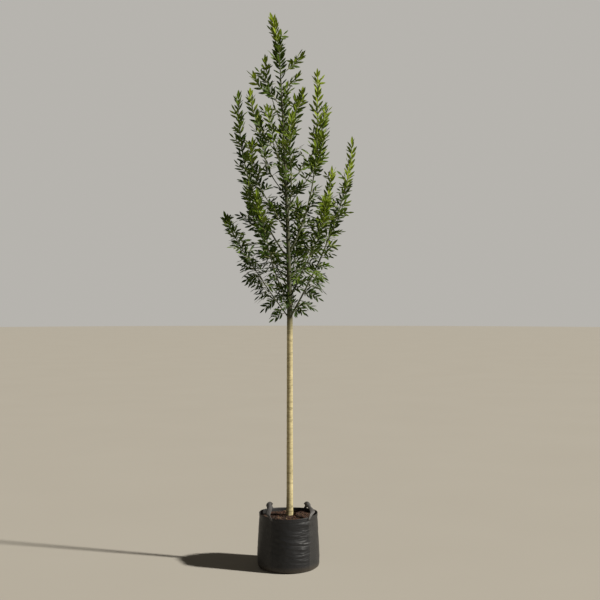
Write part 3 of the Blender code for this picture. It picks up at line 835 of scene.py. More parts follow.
def pair_shares(shoot):
    """Where the pairs of twigs stand, as shares of the shoot's rise."""
    leafy = shoot.length * (1 - shoot.bare)
    pairs = max(1, round(leafy / PAIR_STEP))
    return [shoot.bare + (1 - shoot.bare) * (i + PAIR_PLACE) / pairs for i in range(pairs)]


def twig_rule(shoot, foot, pair, share, dice, wider=0.0):
    """The two twigs of a pair: (direction, length) of each."""
    high = smooth((foot.z - DROOP_LOW) / (DROOP_HIGH - DROOP_LOW))
    polar = POLAR_LOW + (POLAR_HIGH - POLAR_LOW) * high
    tip_polar = TIP_POLAR_LOW + (TIP_POLAR_HIGH - TIP_POLAR_LOW) * high
    polar += (tip_polar - polar) * share**4 + wider * high
    turn = shoot.bearing + math.radians(
        PAIR_TURN + 90 * pair + dice.uniform(-TURN_JITTER, TURN_JITTER)
    )
    for side in (0, 1):
        bearing = turn + math.pi * side
        tilt = math.radians(polar + dice.uniform(-TILT_JITTER, TILT_JITTER))
        flat = math.sin(tilt)
        direction = Vector(
            (flat * math.cos(bearing), flat * math.sin(bearing), math.cos(tilt))
        )
        outward = math.cos(bearing - shoot.bearing)
        length = TWIG_LOW + (TWIG_HIGH - TWIG_LOW) * high
        length *= 1 - TWIG_SHORTENS * share**3
        length *= 1 + (1 - TWIG_INWARD) * min(0.0, outward)
        length *= dice.uniform(*TWIG_SIZES)
        yield direction, length


def all_twigs(shoot):
    """Every twig of a shoot: (foot, direction, length, share of leafy part).

    The solids' own pairs come first, every second one of them a shorter
    single leaf there, then the finer pairs between them, and last the pairs
    on the feet of the lowest boughs.
    """
    shares = pair_shares(shoot)
    count = len(shares)
    for pair in range(count):
        dice = random.Random(f"{SEED} {shoot.name} {pair}")
        share = (pair + PAIR_PLACE) / count
        foot = shoot.point(shares[pair])
        for direction, length in twig_rule(shoot, foot, pair, share, dice):
            if pair % 2:
                length = min(length, SINGLE_LENGTH)
            yield foot, direction, length, share
    gap = (1 - shoot.bare) / count
    for pair in range(count):
        dice = random.Random(f"{SEED} {shoot.name} between {pair}")
        extra = fill(shoot.point(shares[pair]).z)
        for step in range(extra):
            ahead = (step + 1) / (extra + 1)
            share = min(0.99, (pair + PAIR_PLACE + ahead) / count)
            foot = shoot.point(min(0.995, shares[pair] + gap * ahead))
            rows = twig_rule(shoot, foot, pair + 0.5 + 0.37 * step, share, dice, WIDER)
            for direction, length in rows:
                yield foot, direction, length * BETWEEN_LENGTH, share
    if shoot.bare and shoot.foot < LOW_FEET:
        for pair in range(FOOT_PAIRS):
            dice = random.Random(f"{SEED} {shoot.name} foot {pair}")
            along = FOOT_FROM + (1 - FOOT_FROM) * pair / FOOT_PAIRS
            foot = shoot.point(shoot.bare * along)
            for direction, length in twig_rule(shoot, foot, 0.63 * pair, 0.0, dice):
                yield foot, direction, length * FOOT_LENGTH, 0.0


def fill(z):
    """How many finer pairs stand between two of the solids' pairs."""
    for number, top in FILL:
        if z < top:
            return number
    return 0


class Space:
    """The room of each shoot: what is nearer to its axis than to any other."""

    def __init__(self, shoots):
        owners, points, limbs, radii = [], [], [], []
        for shoot in shoots:
            for i in range(41):
                share = i / 40
                if share < shoot.bare:
                    limbs.append(shoot.point(share))
                    radii.append(shoot.radius(share))
                owners.append(shoot.name)
                points.append(shoot.point(share))
        for i in range(161):
            z = CROWN_FOOT + (TRUNK_TOP - CROWN_FOOT) * i / 160
            limbs.append(trunk_point(z))
            radii.append(trunk_radius(z))
        self.owners = np.array(owners)
        self.points = np.array(points)
        self.limbs = np.array(limbs)
        self.radii = np.array(radii)

    def holds(self, name, samples):
        """Whether the samples keep to this shoot's room and clear of limbs."""
        samples = np.array([tuple(p) for p in samples])
        away = np.linalg.norm(self.points[None] - samples[:, None], axis=2)
        own = away[:, self.owners == name].min(axis=1)
        other = away[:, self.owners != name].min(axis=1)
        if (own + SPACE_MARGIN > other).any():
            return False
        away = np.linalg.norm(self.limbs[None] - samples[:, None], axis=2)
        return bool((away > self.radii[None] + LIMB_CLEAR).all())


# Limbs


def rings(points, sides):
    """Unit circles square to a line, carried along it without twist."""
    points = np.array([tuple(p) for p in points])
    along = np.gradient(points, axis=0)
    along /= np.linalg.norm(along, axis=1)[:, None]
    first = np.cross(along[0], (0.0, 1.0, 0.0))
    if np.linalg.norm(first) < 0.2:
        first = np.cross(along[0], (1.0, 0.0, 0.0))
    angles = np.linspace(0, 2 * np.pi, sides, endpoint=False)
    circles = []
    across = first
    for direction in along:
        across = across - direction * (across @ direction)
        across /= np.linalg.norm(across)
        other = np.cross(direction, across)
        circles.append(np.outer(np.cos(angles), across) + np.outer(np.sin(angles), other))
    return points, np.array(circles)


def limb(points, radii, sides):
    """Corners and faces of a closed tapering limb.

    Each radius is one number, or one for each side.
    """
    points, circles = rings(points, sides)
    radii = np.array(radii)
    if radii.ndim == 1:
        radii = radii[:, None]
    corners = points[:, None] + circles * radii[:, :, None]
    return corners.reshape(-1, 3), tube_faces(len(points), sides)


def join_shapes(shapes):
    """One list of corners and faces from many."""
    corners, faces, count = [], [], 0
    for some, their_faces in shapes:
        corners.append(some)
        faces.extend([tuple(i + count for i in face) for face in their_faces])
        count += len(some)
    return np.concatenate(corners), faces


def bark_scars(dice):
    """Where side shoots were cut off the clear stem: (height, bearing, size)."""
    scars = [CLEAR_SCAR]
    height = COMPOST_TOP + 0.14
    while height < CROWN_FOOT - 0.08:
        scars.append((height, dice.uniform(0, 360), dice.uniform(0.004, 0.0065)))
        height += dice.uniform(0.07, 0.16)
    return scars


def bark_relief(z, angle, ring, scars):
    """(radius, mark) of the trunk at a height and angle.

    The ring is 1 at a node and 0 between nodes. Each scar has a raised rim.
    """
    wide = trunk_radius(max(z, COMPOST_TOP))
    flare = math.exp(-max(0.0, z - COMPOST_TOP) / LOBE_HEIGHT)
    size = min(1.0, wide / FOOT_RADIUS)
    spot = Vector((math.cos(angle), math.sin(angle), z * 9.0))
    lumps = noise.noise(spot * 1.3) * LUMP_PROUD + noise.noise(spot * 4.0) * FINE_LUMP_PROUD
    lobes = LOBE_PROUD * flare * math.cos(5 * angle + 0.6)
    radius = wide + size * (lumps + NODE_PROUD * ring) + lobes
    mark = 0.35 * ring * (0.6 + noise.noise(spot * 2.0))
    for height, bearing, scar in scars:
        if abs(z - height) > 4 * scar:
            continue
        turn = math.radians(turn_between(math.degrees(angle), bearing))
        off = math.hypot(turn * wide, z - height) / scar
        radius += SCAR_PROUD * bell(off - 0.9, 0.45)
        mark += 0.8 * bell(off, 1.0)
    return radius, min(1.0, max(0.0, mark))


def make_trunk(material):
    """The stem from the compost to the leader's tip, with nodes and scars."""
    dice = random.Random(SEED)
    scars = bark_scars(dice)
    nodes = [COMPOST_TOP + 0.03]
    while nodes[-1] < TREE_TOP:
        nodes.append(nodes[-1] + dice.uniform(0.030, 0.052))
    foot, top = COMPOST_TOP - 0.006, TREE_TOP - TIP_LEAF
    heights = np.linspace(foot, top, round((top - foot) / TRUNK_STEP) + 1)
    reliefs = []
    for z in heights:
        ring = bell(min(abs(z - node) for node in nodes), NODE_WIDTH)
        for side in range(TRUNK_SIDES):
            reliefs.append(bark_relief(z, 2 * math.pi * side / TRUNK_SIDES, ring, scars))
    radii, marks = zip(*reliefs)
    radii = np.array(radii).reshape(-1, TRUNK_SIDES)
    corners, faces = limb([trunk_point(z) for z in heights], radii, TRUNK_SIDES)
    return add_object("trunk", mesh_of("trunk", corners, faces, mark=marks), material)


def shoot_limb(shoot):
    """A bough from inside the trunk's bark to its tip, swollen at its pairs."""
    start = 0.0
    while shoot.reach * (1 - (1 - start) ** shoot.bow) < 0.5 * trunk_radius(shoot.foot):
        start += 0.002
    steps = max(6, round(shoot.length * (1 - start) / BOUGH_STEP))
    shares = np.linspace(start, 1.0, steps + 1)
    pairs = pair_shares(shoot)
    points, radii = [], []
    for share in shares:
        near = min(abs(share - pair) for pair in pairs) * shoot.length
        node = 1 + NODE_SWELL * bell(near, NODE_LENGTH)
        away = (share - start) * shoot.length
        collar = 1 + COLLAR_SWELL * math.exp(-away / COLLAR_LENGTH)
        points.append(shoot.point(share))
        radii.append(shoot.radius(share) * node * collar)
    radii = np.array(radii)[:, None] * np.ones(BOUGH_SIDES)
    for i, point in enumerate(points):
        for side in range(BOUGH_SIDES):
            rough = uneven(side * 0.9, shoot.foot * 31, point.z * 40)
            radii[i, side] *= 1 + BOUGH_ROUGH * rough
    return limb(points, radii, BOUGH_SIDES)


# Twigs and leaves


class Spray:
    """A twig with its leaves in pairs."""

    def __init__(self, foot, aim, reach, flat, twist):
        self.foot = foot
        self.aim = aim
        self.length = max(reach - END_LEAF, 0.35 * reach)
        self.leaf = min(LEAF_LENGTH, (reach - self.length) * LEAF_LENGTH / END_LEAF)
        self.flat = (flat - aim * flat.dot(aim)).normalized()
        self.twist = twist
        self.lift = Vector((0, 0, 1)) - aim * aim.z
        self.arch = TWIG_ARCH * self.length

    def point(self, share):
        """On the twig: it leaves steeply and arches over to its tip."""
        rise = 4 * share * (1 - share)
        return self.foot + self.aim * (self.length * share) + self.lift * (self.arch * rise)

    def along(self, share):
        """Direction of the twig at this share."""
        ahead, behind = self.point(min(1.0, share + 0.02)), self.point(max(0.0, share - 0.02))
        return (ahead - behind).normalized()

    def limb(self):
        """The twig's own corners and faces."""
        shares = [i / TWIG_STEPS for i in range(TWIG_STEPS + 1)]
        points = [self.point(s) for s in shares]
        radii = [TWIG_FOOT_RADIUS + (TWIG_TIP_RADIUS - TWIG_FOOT_RADIUS) * s for s in shares]
        return limb(points, radii, TWIG_SIDES)


def leaf_pair(root, along, flat, angle, length, dice):
    """Two leaves, one on each side of a stem: (root, aim, face, size) of each."""
    side = along.cross(flat).normalized()
    for way in (1, -1):
        turn = math.radians(angle + dice.uniform(-LEAF_TURN, LEAF_TURN))
        aim = along * math.cos(turn) + side * (way * math.sin(turn))
        aim += flat * dice.uniform(-LEAF_LIFT, LEAF_LIFT)
        aim.normalize()
        roll = math.radians(dice.uniform(-LEAF_ROLL, LEAF_ROLL))
        face = Matrix.Rotation(roll, 3, aim) @ flat
        size = length * dice.uniform(*LEAF_SIZES)
        yield root - aim * LEAF_SUNK, aim, face, size


def spray_leaves(spray, dice):
    """Leaves from near the twig's foot to the one at its end."""
    bare = min(LEAF_BARE, 0.4 * spray.length)
    steps = max(1, round((spray.length - bare) / LEAF_STEP))
    for step in range(steps):
        away = bare + (spray.length - bare) * step / steps
        share = away / spray.length
        along = spray.along(share)
        turned = Matrix.Rotation(spray.twist * share, 3, along) @ spray.flat
        angle = LEAF_ANGLE + (LEAF_TIP_ANGLE - LEAF_ANGLE) * share
        size = spray.leaf * (0.76 + 0.30 * math.sin(math.pi * (0.15 + 0.75 * share)))
        yield from leaf_pair(spray.point(share), along, turned, angle, size, dice)
    along = spray.along(1.0)
    face = Matrix.Rotation(spray.twist, 3, along) @ spray.flat
    yield spray.point(1.0) - along * LEAF_SUNK, along, face, spray.leaf * 0.95


def shoot_leaves(shoot, dice):
    """Leaves that stand on the shoot itself, crowded towards its tip."""
    start = shoot.bare + (1 - shoot.bare) * SHOOT_LEAF_FROM
    gap = SHOOT_LEAF_STEP
    if shoot.name == "leader":
        start, gap = LEADER_LEAF_FROM, LEADER_LEAF_STEP
    steps = round(shoot.length * (1 - start) / gap)
    for step in range(steps + 1):
        share = start + (1 - start) * step / steps
        along = shoot.along(share)
        across = along.cross(Vector((0.3, 1, 0))).normalized()
        turn = math.radians(90 * step + dice.uniform(-SHOOT_LEAF_TURN, SHOOT_LEAF_TURN))
        flat = Matrix.Rotation(turn, 3, along) @ across
        angle = SHOOT_LEAF_ANGLE + (SHOOT_TIP_ANGLE - SHOOT_LEAF_ANGLE) * (step / steps) ** 2
        size = SHOOT_LEAF_LENGTH * (1.08 - 0.16 * (step / steps) ** 4)
        yield from leaf_pair(shoot.point(share), along, flat, angle, size, dice)
    along = shoot.along(1.0)
    yield shoot.point(1.0), along, Vector((0, -1, 0.2)), TIP_LEAF


def stem_leaves(dice):
    """Leaves that stand on the trunk itself, all the way up the crown."""
    count = round((TRUNK_TOP - STEM_LEAVES_FROM) / STEM_LEAF_STEP)
    for step in range(count):
        z = STEM_LEAVES_FROM + (TRUNK_TOP - STEM_LEAVES_FROM) * step / count
        turn = math.radians(90 * step + dice.uniform(-STEM_LEAF_TURN, STEM_LEAF_TURN))
        flat = Matrix.Rotation(turn, 3, "Z") @ Vector((0, -1, 0))
        up = (trunk_point(z + 0.01) - trunk_point(z)).normalized()
        pair = leaf_pair(trunk_point(z), up, flat, SHOOT_LEAF_ANGLE, LEAF_LENGTH, dice)
        for root, aim, face, size in pair:
            yield root + aim * 0.7 * trunk_radius(z), aim, face, size


def leaf_shape(broad, fold, droop):
    """A closed blade of unit length: root at the origin, tip at +Y, face +Z."""
    stations = ((0.20, 0.66), (0.50, 1.0), (0.80, 0.60))
    corners = [(0.0, 0.0, 0.0)]
    for along, wide in stations:
        half = broad / 2 * wide
        sink = -droop * along**2
        rib = sink - fold * half
        corners += [(-half, along, sink), (half, along, sink)]
        corners += [(0.0, along, rib + LEAF_THICK / 2), (0.0, along, rib - LEAF_THICK / 2)]
    corners.append((0.0, 1.0, -droop))
    tip = len(corners) - 1
    faces = [(0, 2, 3), (0, 3, 1), (0, 4, 2), (0, 1, 4)]
    for station in (0, 1):
        near, far = 1 + 4 * station, 5 + 4 * station
        faces += [
            (near, near + 2, far + 2, far),
            (near + 2, near + 1, far + 1, far + 2),
            (near + 3, near, far, far + 3),
            (near + 1, near + 3, far + 3, far + 1),
        ]
    last = 9
    faces += [(last, last + 2, tip), (last + 2, last + 1, tip)]
    faces += [(last + 3, last, tip), (last + 1, last + 3, tip)]
    mesh = mesh_of("leaf", corners, faces)
    face_outwards(mesh)
    mesh.set_sharp_from_angle(angle=math.radians(60))
    return mesh


def within_outline(tip, dice):
    """Whether a twig's tip keeps to the crown's outline, a little loosely."""
    heights, reaches = zip(*OUTLINE)
    reach = np.interp(tip.z, heights, reaches) * dice.uniform(0.92, 1.12)
    return (tip - trunk_point(tip.z)).xy.length < reach


def tint_of(place, share, dice):
    """Which green a spray takes, with sun and shade painted in: yellow-green and lighter at the
    top and the tips, lighter away from the trunk and on the right side, where the key light
    falls.

    The share says how far up its shoot the spray stands.
    """
    height = max(0.0, (place.z - CROWN_FOOT) / (TREE_TOP - CROWN_FOOT))
    off = place - trunk_point(place.z)
    out = min(1.0, math.hypot(off.x, off.y) / CROWN_HALF)
    # Height, place on the shoot, distance out and the right side, where the key light falls,
    # lighten the painted green
    parts = (height**1.5, share**2, out, off.x / CROWN_HALF)
    light = sum(weight * part for weight, part in zip(TINT_WEIGHTS, parts))
    light += dice.uniform(-TINT_JITTER, TINT_JITTER)
    names = list(TINTS)
    for name, least in zip(names, TINT_LIGHTS):
        if light > least:
            return name
    return names[-1]


def room_for(shoot, foot, aim, length, space, dice):
    """How long a twig can be here, or 0 where there is no room for it."""
    for shorter in SHORTER:
        reach = length * shorter
        samples = [foot + aim * reach * i / 5 for i in (2, 3, 4, 5)]
        last = shorter == SHORTER[-1]
        if reach < LEAST_TWIG or not (last or within_outline(samples[-1], dice)):
            continue
        if space.holds(shoot.name, samples):
            return reach
    return 0.0


def grow_spray(foot, aim, reach, dice):
    """A twig turned by chance, twisted more the higher it stands."""
    high = smooth((foot.z - DROOP_LOW) / (DROOP_HIGH - DROOP_LOW))
    roll = math.radians(dice.uniform(-TWIG_ROLL, TWIG_ROLL))
    flat = Matrix.Rotation(roll, 3, aim) @ Vector((0, 0, 1))
    most = TWIG_TWIST_LOW + (TWIG_TWIST_HIGH - TWIG_TWIST_LOW) * high
    twist = math.radians(dice.uniform(-1, 1) * most)
    return Spray(foot, aim, reach, flat, twist)


def grow_crown(shoots):
    """All twigs as one shape, and the leaves of each tint."""
    space = Space(shoots)
    twigs = []
    leaves = {name: [] for name in TINTS}
    for shoot in shoots:
        for number, (foot, aim, length, share) in enumerate(all_twigs(shoot)):
            dice = random.Random(f"{SEED} {shoot.name} spray {number}")
            reach = room_for(shoot, foot, aim, length, space, dice)
            if not reach:
                continue
            spray = grow_spray(foot, aim, reach, dice)
            twigs.append(spray.limb())
            tint = tint_of(spray.point(1.0), share, dice)
            leaves[tint].extend(spray_leaves(spray, dice))
        dice = random.Random(f"{SEED} {shoot.name} own leaves")
        own = list(shoot_leaves(shoot, dice))
        cut = int(len(own) * OWN_LOWER)
        leaves[tint_of(shoot.point(0.6), 0.5, dice)].extend(own[:cut])
        leaves[tint_of(shoot.point(1.0), 1.0, dice)].extend(own[cut:])
    dice = random.Random(f"{SEED} stem leaves")
    for leaf in stem_leaves(dice):
        leaves[tint_of(leaf[0], STEM_LEAF_SHARE, dice)].append(leaf)
    return twigs, leaves


def aimed_points(name, rows):
    """A loose point for each copy: its (root, aim, face, size)."""
    mesh = bpy.data.meshes.new(f"points_{name}")
    mesh.from_pydata([tuple(row[0]) for row in rows], [], [])
    for label, column in (("aim", 1), ("face", 2)):
        values = np.array([tuple(row[column]) for row in rows], np.float32)
        layer = mesh.attributes.new(label, "FLOAT_VECTOR", "POINT")
        layer.data.foreach_set("vector", values.ravel())
    layer = mesh.attributes.new("size", "FLOAT", "POINT")
    layer.data.foreach_set("value", np.array([row[3] for row in rows], np.float32))
    return add_object(f"points_{name}", mesh)


def deal(name, rows, shapes, material, tree):
    """A piece made of copies of the shapes, one for each row."""
    tree, names = tree
    base = aimed_points(name, rows)
    collection = hidden_collection(f"{name}_shapes", shapes)
    values = {"Shapes": collection, "Size": 1.0, "Seed": SEED, "Material": material}
    piece = grown(name, base, tree, names, values)
    bpy.data.objects.remove(base)
    for layer in ("aim", "face", "size"):
        if layer in piece.data.attributes:
            piece.data.attributes.remove(piece.data.attributes[layer])
    return piece


# Bag


def seam_share(bearing):
    """0 at a seam between two of the bag's panels, 1 in a panel's middle."""
    ends = sorted(SEAM_BEARINGS)
    ends = [ends[-1] - 360, *ends, ends[0] + 360]
    bearing %= 360
    for low, high in zip(ends, ends[1:]):
        if low <= bearing < high:
            return math.sin(math.pi * (bearing - low) / (high - low))
    return 0.0


def bag_radius(z):
    """Outer radius of the turned bag: round foot, full belly, drawn-in rim."""
    foot = min(1.0, max(0.0, z / 0.030))
    rounded = math.sqrt(max(0.0, 1 - (1 - foot) ** 2))
    low = BAG_FOOT_RADIUS + (BAG_BELLY_RADIUS - BAG_FOOT_RADIUS) * rounded
    drawn = smooth((z - 0.06) / (BAG_HEIGHT - 0.06))
    return low + (BAG_RIM_RADIUS - BAG_BELLY_RADIUS) * drawn


def bag_form(point):
    """Puts a point of the turned bag where the sewn bag has it."""
    x, y, z = point
    radius = math.hypot(x, y)
    if radius < 1e-6:
        return Vector((x, y, z))
    angle = math.atan2(y, x)
    height = min(1.0, max(0.0, z / BAG_HEIGHT))
    bulge = PANEL_BULGE * (seam_share(math.degrees(angle)) - 0.5)
    bulge *= 2 * math.sin(math.pi * min(1.0, height * 1.1)) ** 0.5 if z > 0.004 else 0
    edge = min(1.0, radius / BAG_FOOT_RADIUS) ** 3
    out = radius + bulge * edge
    lift = RIM_LIFT * (abs(math.cos(angle)) ** 1.5 - 0.4) * height**6 * edge
    return Vector((out * math.cos(angle), out * math.sin(angle), z + lift))


def aside_of(bearing, other):
    """Metres round the belly from one bearing to the other."""
    return math.radians(turn_between(bearing, other)) * BAG_BELLY_RADIUS


def crest(value, sharpness):
    """1 along a fold's crest, falling away to 0 on both sides."""
    return (1 - min(1.0, abs(value) * sharpness)) ** 1.5


def loose_folds(bearing, z):
    """Folds that hang in shallow curves where the cloth is loose."""
    aside = aside_of(bearing, FOLDS_BEARING)
    loose = sum(share * bell(turn_between(bearing, middle), half)
                for middle, half, share in LOOSE_CLOTH)
    loose *= smooth((z - 0.02) / 0.06) * smooth((BAG_HEIGHT - 0.02 - z) / 0.06)
    smile = z - FOLDS_CURVE * aside**2
    folds = crest(uneven(aside * 5.0, smile * 36.0, 3.7), 3.2)
    fine = crest(uneven(aside * 9.0, smile * 70.0, 9.1), 3.0)
    depth = 0.5 + uneven(aside * 12.0, smile * 15.0, 6.2)
    return loose * (FOLD_DEPTH * folds * depth + FINE_FOLD_DEPTH * fine - LOOSE_SUNK)


def crease(bearing, z):
    """How far the cloth stands out of its round form, in metres."""
    x, y = math.cos(math.radians(bearing)), math.sin(math.radians(bearing))
    sag = SAG_DEPTH * uneven(x * 2.6, y * 2.6, z * 9.0)
    ripple = RIPPLE_DEPTH * uneven(x * 5.0, y * 5.0, z * 34.0)
    mid = smooth(z / 0.03) * smooth((BAG_HEIGHT - z) / 0.03)
    below = BAG_HEIGHT - SLUMP_DROP - z - 0.05 * aside_of(bearing, FOLDS_BEARING)
    slump = bell(turn_between(bearing, SLUMP_BEARING), SLUMP_HALF) * bell(below, SLUMP_WIDTH)
    return (loose_folds(bearing, z) + mid * (sag + ripple) + SLUMP_DEPTH * slump
            + drag(bearing, z))


def drag(bearing, z):
    """Creases that fan down from the straps' feet."""
    out = 0.0
    down = BAG_HEIGHT - HEM_DEPTH - z
    if down < 0:
        return out
    for _, first, last, _ in HANDLES:
        for foot in (first, last):
            spread = aside_of(bearing, foot) / (0.020 + 0.55 * down)
            fan = math.cos(3.2 * spread) * math.exp(-(spread**2) * 0.55)
            out += DRAG_DEPTH * fan * math.exp(-down / DRAG_LENGTH) * smooth(down / 0.012)
    return out


def seam_relief(bearing, z):
    """The sewn seams: a valley between two folded lips."""
    out = 0.0
    for seam in SEAM_BEARINGS:
        off = abs(aside_of(bearing, seam))
        if off < SEAM_REACH:
            out += LIP_PROUD * bell(off - LIP_OFFSET, LIP_WIDTH)
            out -= VALLEY_DEPTH * bell(off, VALLEY_WIDTH)
    return out * smooth((z - 0.008) / 0.01)


def cloth_shell(z):
    """Outer radius of the finished bag."""
    radius = bag_radius(z)
    hem_foot = BAG_HEIGHT - HEM_DEPTH
    hem = smooth((z - hem_foot + HEM_EDGE) / (2 * HEM_EDGE))
    piping = bell(z - PIPING_HEIGHT, PIPING_WIDTH)
    return radius + HEM_PROUD * hem + PIPING_PROUD * piping


def bag_profile():
    """Rows of the bag from its underside up the outside and down the inside.

    Each is (height, radius or None for the cloth's own, how much it creases).
    """
    rows = [(0.0, 0.001, 0.0), (0.0, 0.09, 0.0), (0.0, BAG_FOOT_RADIUS - 0.012, 0.0)]
    rows.append((0.0, BAG_FOOT_RADIUS - 0.002, 0.0))
    low, high = HEM_EDGE, BAG_HEIGHT - HEM_EDGE
    for row in range(BAG_ROWS):
        share = row / (BAG_ROWS - 1)
        rows.append((low + (high - low) * share, None, 1.0))
    rim = BAG_RIM_RADIUS
    rows.append((BAG_HEIGHT, rim + HEM_PROUD - HEM_EDGE, 0.6))
    rows.append((BAG_HEIGHT - 0.0008, rim - BAG_WALL, 0.6))
    for step in range(7):
        z = BAG_HEIGHT - 0.004 - 0.006 * step
        rows.append((z, bag_radius(z) - BAG_WALL - 0.0006, 0.5 if step < 3 else 0.0))
    rows.append((0.010, BAG_FOOT_RADIUS - 0.004, 0.0))
    rows.append((0.0022, BAG_FOOT_RADIUS - 0.010, 0.0))
    rows.append((0.0022, 0.001, 0.0))
    return rows


def make_bag(material):
    """The sewn cloth as one closed shell with its hem, seams and creases."""
    rows = bag_profile()
    corners, woven, laid = [], [], []
    length = 0.0
    before = None
    for z, radius, creased in rows:
        here = (radius if radius is not None else bag_radius(z), z)
        length += math.dist(here, before) if before else 0.0
        before = here
        for column in range(BAG_COLUMNS):
            bearing = 360 * column / BAG_COLUMNS
            out = cloth_shell(z) if radius is None else radius
            out += creased * (crease(bearing, z) + seam_relief(bearing, z))
            angle = math.radians(bearing)
            point = bag_form((out * math.cos(angle), out * math.sin(angle), z))
            corners.append(tuple(point))
            coated = abs(turn_between(bearing, COATED_BEARING)) < COATED_HALF
            woven.append(0.0 if coated else 1.0)
            laid.append((angle * BAG_BELLY_RADIUS, length))
    mesh = mesh_of("bag", corners, tube_faces(len(rows), BAG_COLUMNS), woven=woven)
    lay_out(mesh, laid, 2 * math.pi * BAG_BELLY_RADIUS)
    return add_object("bag", mesh, material)


def lay_out(mesh, laid, round_length=None):
    """Gives the cloth its pattern map, in metres along and across it."""
    layer = mesh.uv_layers.new(name="cloth")
    for face in mesh.polygons:
        spots = [laid[i] for i in face.vertices]
        widest = max(u for u, _ in spots)
        for loop, (u, v) in zip(face.loop_indices, spots):
            if round_length and widest - u > round_length / 2:
                u += round_length
            layer.data[loop].uv = (u, v)


# Handles


def strap_line(first, last, soon, share):
    """Centre, width direction and width of a strap at a share of its length.

    It leans in over the bag by the share called soon.
    """
    middle = math.radians((first + last) / 2)
    half = math.radians((last - first) / 2)
    swing = 2 * share - 1
    end = 1 if swing > 0 else -1
    angle = middle + half * end * abs(swing) ** 0.85
    rise = math.sin(math.pi * share) ** 0.72
    lift = smooth((rise - 0.25) / 0.75)
    bearing = Vector((math.cos(angle), math.sin(angle), 0))
    along = Vector((-math.sin(angle), math.cos(angle), 0))
    hem = bag_radius(BAG_HEIGHT - HEM_DEPTH) + HEM_PROUD + PANEL_BULGE
    lean = STRAP_LEAN * lift * smooth(share / soon)
    out = hem + STRAP_THICK / 2 + STRAP_GAP - lean
    z = BAG_HEIGHT - STRAP_LAP + (STRAP_RISE + STRAP_LAP) * rise
    across = (bearing - Vector((0, 0, STRAP_TILT))) * (lift if half > 0 else -lift)
    wide = (across - along * end * (1 - lift)).normalized()
    width = STRAP_FOOT_WIDTH + (STRAP_WIDTH - STRAP_FOOT_WIDTH) * smooth(rise / 0.55)
    return bearing * out + Vector((0, 0, z)), wide, width


def strap_section(width):
    """Round the strap's edge: (across, through), a flat band with full edges."""
    half, thick = width / 2, STRAP_THICK / 2
    outline = []
    for across in np.linspace(-1, 1, 7):
        outline.append((across * (half - 0.001), thick * (1 - 0.15 * abs(across))))
    outline.append((half, 0.0))
    for across in np.linspace(1, -1, 7):
        outline.append((across * (half - 0.001), -thick * (1 - 0.15 * abs(across))))
    outline.append((-half, 0.0))
    return outline


def make_strap(name, first, last, soon, material):
    """A band of the same cloth bent from seam to seam, a little cupped."""
    lines = [strap_line(first, last, soon, i / STRAP_STEPS) for i in range(STRAP_STEPS + 1)]
    centres = np.array([tuple(line[0]) for line in lines])
    along = np.gradient(centres, axis=0)
    corners, laid, length = [], [], 0.0
    for i, (centre, wide, width) in enumerate(lines):
        through = Vector(along[i]).cross(wide).normalized()
        length += math.dist(centres[i], centres[i - 1]) if i else 0.0
        for across, thick in strap_section(width):
            cup = 0.0016 * (2 * across / width) ** 2 * smooth(width / STRAP_WIDTH * 2 - 1)
            ripple = 0.0005 * uneven(across * 60, i * 0.31, first)
            point = centre + wide * across + through * (thick + cup + ripple)
            high = smooth((centre.z - BAG_HEIGHT) / STRAP_RISE)
            point.z -= STRAP_FALL * high**2 * (2 * across / width) ** 2
            corners.append(tuple(point))
            laid.append((across, length))
    faces = tube_faces(STRAP_STEPS + 1, len(strap_section(STRAP_WIDTH)))
    mesh = mesh_of(name, corners, faces, woven=np.ones(len(corners)))
    face_outwards(mesh)
    lay_out(mesh, laid)
    return add_object(f"{name}_strap", mesh, material)


# Stitches


def stitch_rows():
    """Lines that are sewn: the hem first, then each side of each seam.

    Each is a list of (bearing, height), a stitch apart.
    """
    height = BAG_HEIGHT - HEM_DEPTH + 0.0045
    count = round(2 * math.pi * BAG_RIM_RADIUS / STITCH_STEP)
    rows = [[(360 * i / count, height) for i in range(count)]]
    for seam in SEAM_BEARINGS:
        for side in (-1, 1):
            bearing = seam + side * math.degrees(LIP_OFFSET / BAG_BELLY_RADIUS)
            count = int((BAG_HEIGHT - HEM_DEPTH - 0.012 - 0.030) / STITCH_STEP)
            rows.append([(bearing, 0.030 + i * STITCH_STEP) for i in range(count)])
    return rows


def make_stitches(material, tree):
    """Short raised threads, laid along the hem and beside the seams."""
    points = []
    for number, row in enumerate(stitch_rows()):
        for bearing, z in row:
            angle = math.radians(bearing)
            out = cloth_shell(z) + crease(bearing, z) + seam_relief(bearing, z)
            place = bag_form((out * math.cos(angle), out * math.sin(angle), z))
            outward = Vector((math.cos(angle), math.sin(angle), 0))
            run = Vector((-outward.y, outward.x, 0)) if number == 0 else Vector((0, 0, 1))
            points.append((place, run, outward, 1.0))
    shape = bmesh.new()
    bmesh.ops.create_uvsphere(shape, u_segments=6, v_segments=4, radius=0.5)
    bmesh.ops.rotate(shape, verts=shape.verts, matrix=Matrix.Rotation(math.pi / 2, 3, "X"))
    bmesh.ops.scale(shape, verts=shape.verts, vec=STITCH_SIZE)
    thread = finished(shape, "thread")
    thread.shade_smooth()
    return deal("stitches", points, [thread] * 3, material, tree)


# Compost


def compost_height(x, y):
    """Lumpy top, heaped a little against the stem."""
    radius = math.hypot(x, y)
    near = math.hypot(x - STEM_X, y)
    z = COMPOST_TOP - 0.004 - 0.005 * (radius / 0.18) ** 2
    z += 0.004 * bell(near, 0.05)
    for close, pattern, high in COMPOST_LUMPS:
        z += high * uneven(x * close, y * close, pattern)
    return z


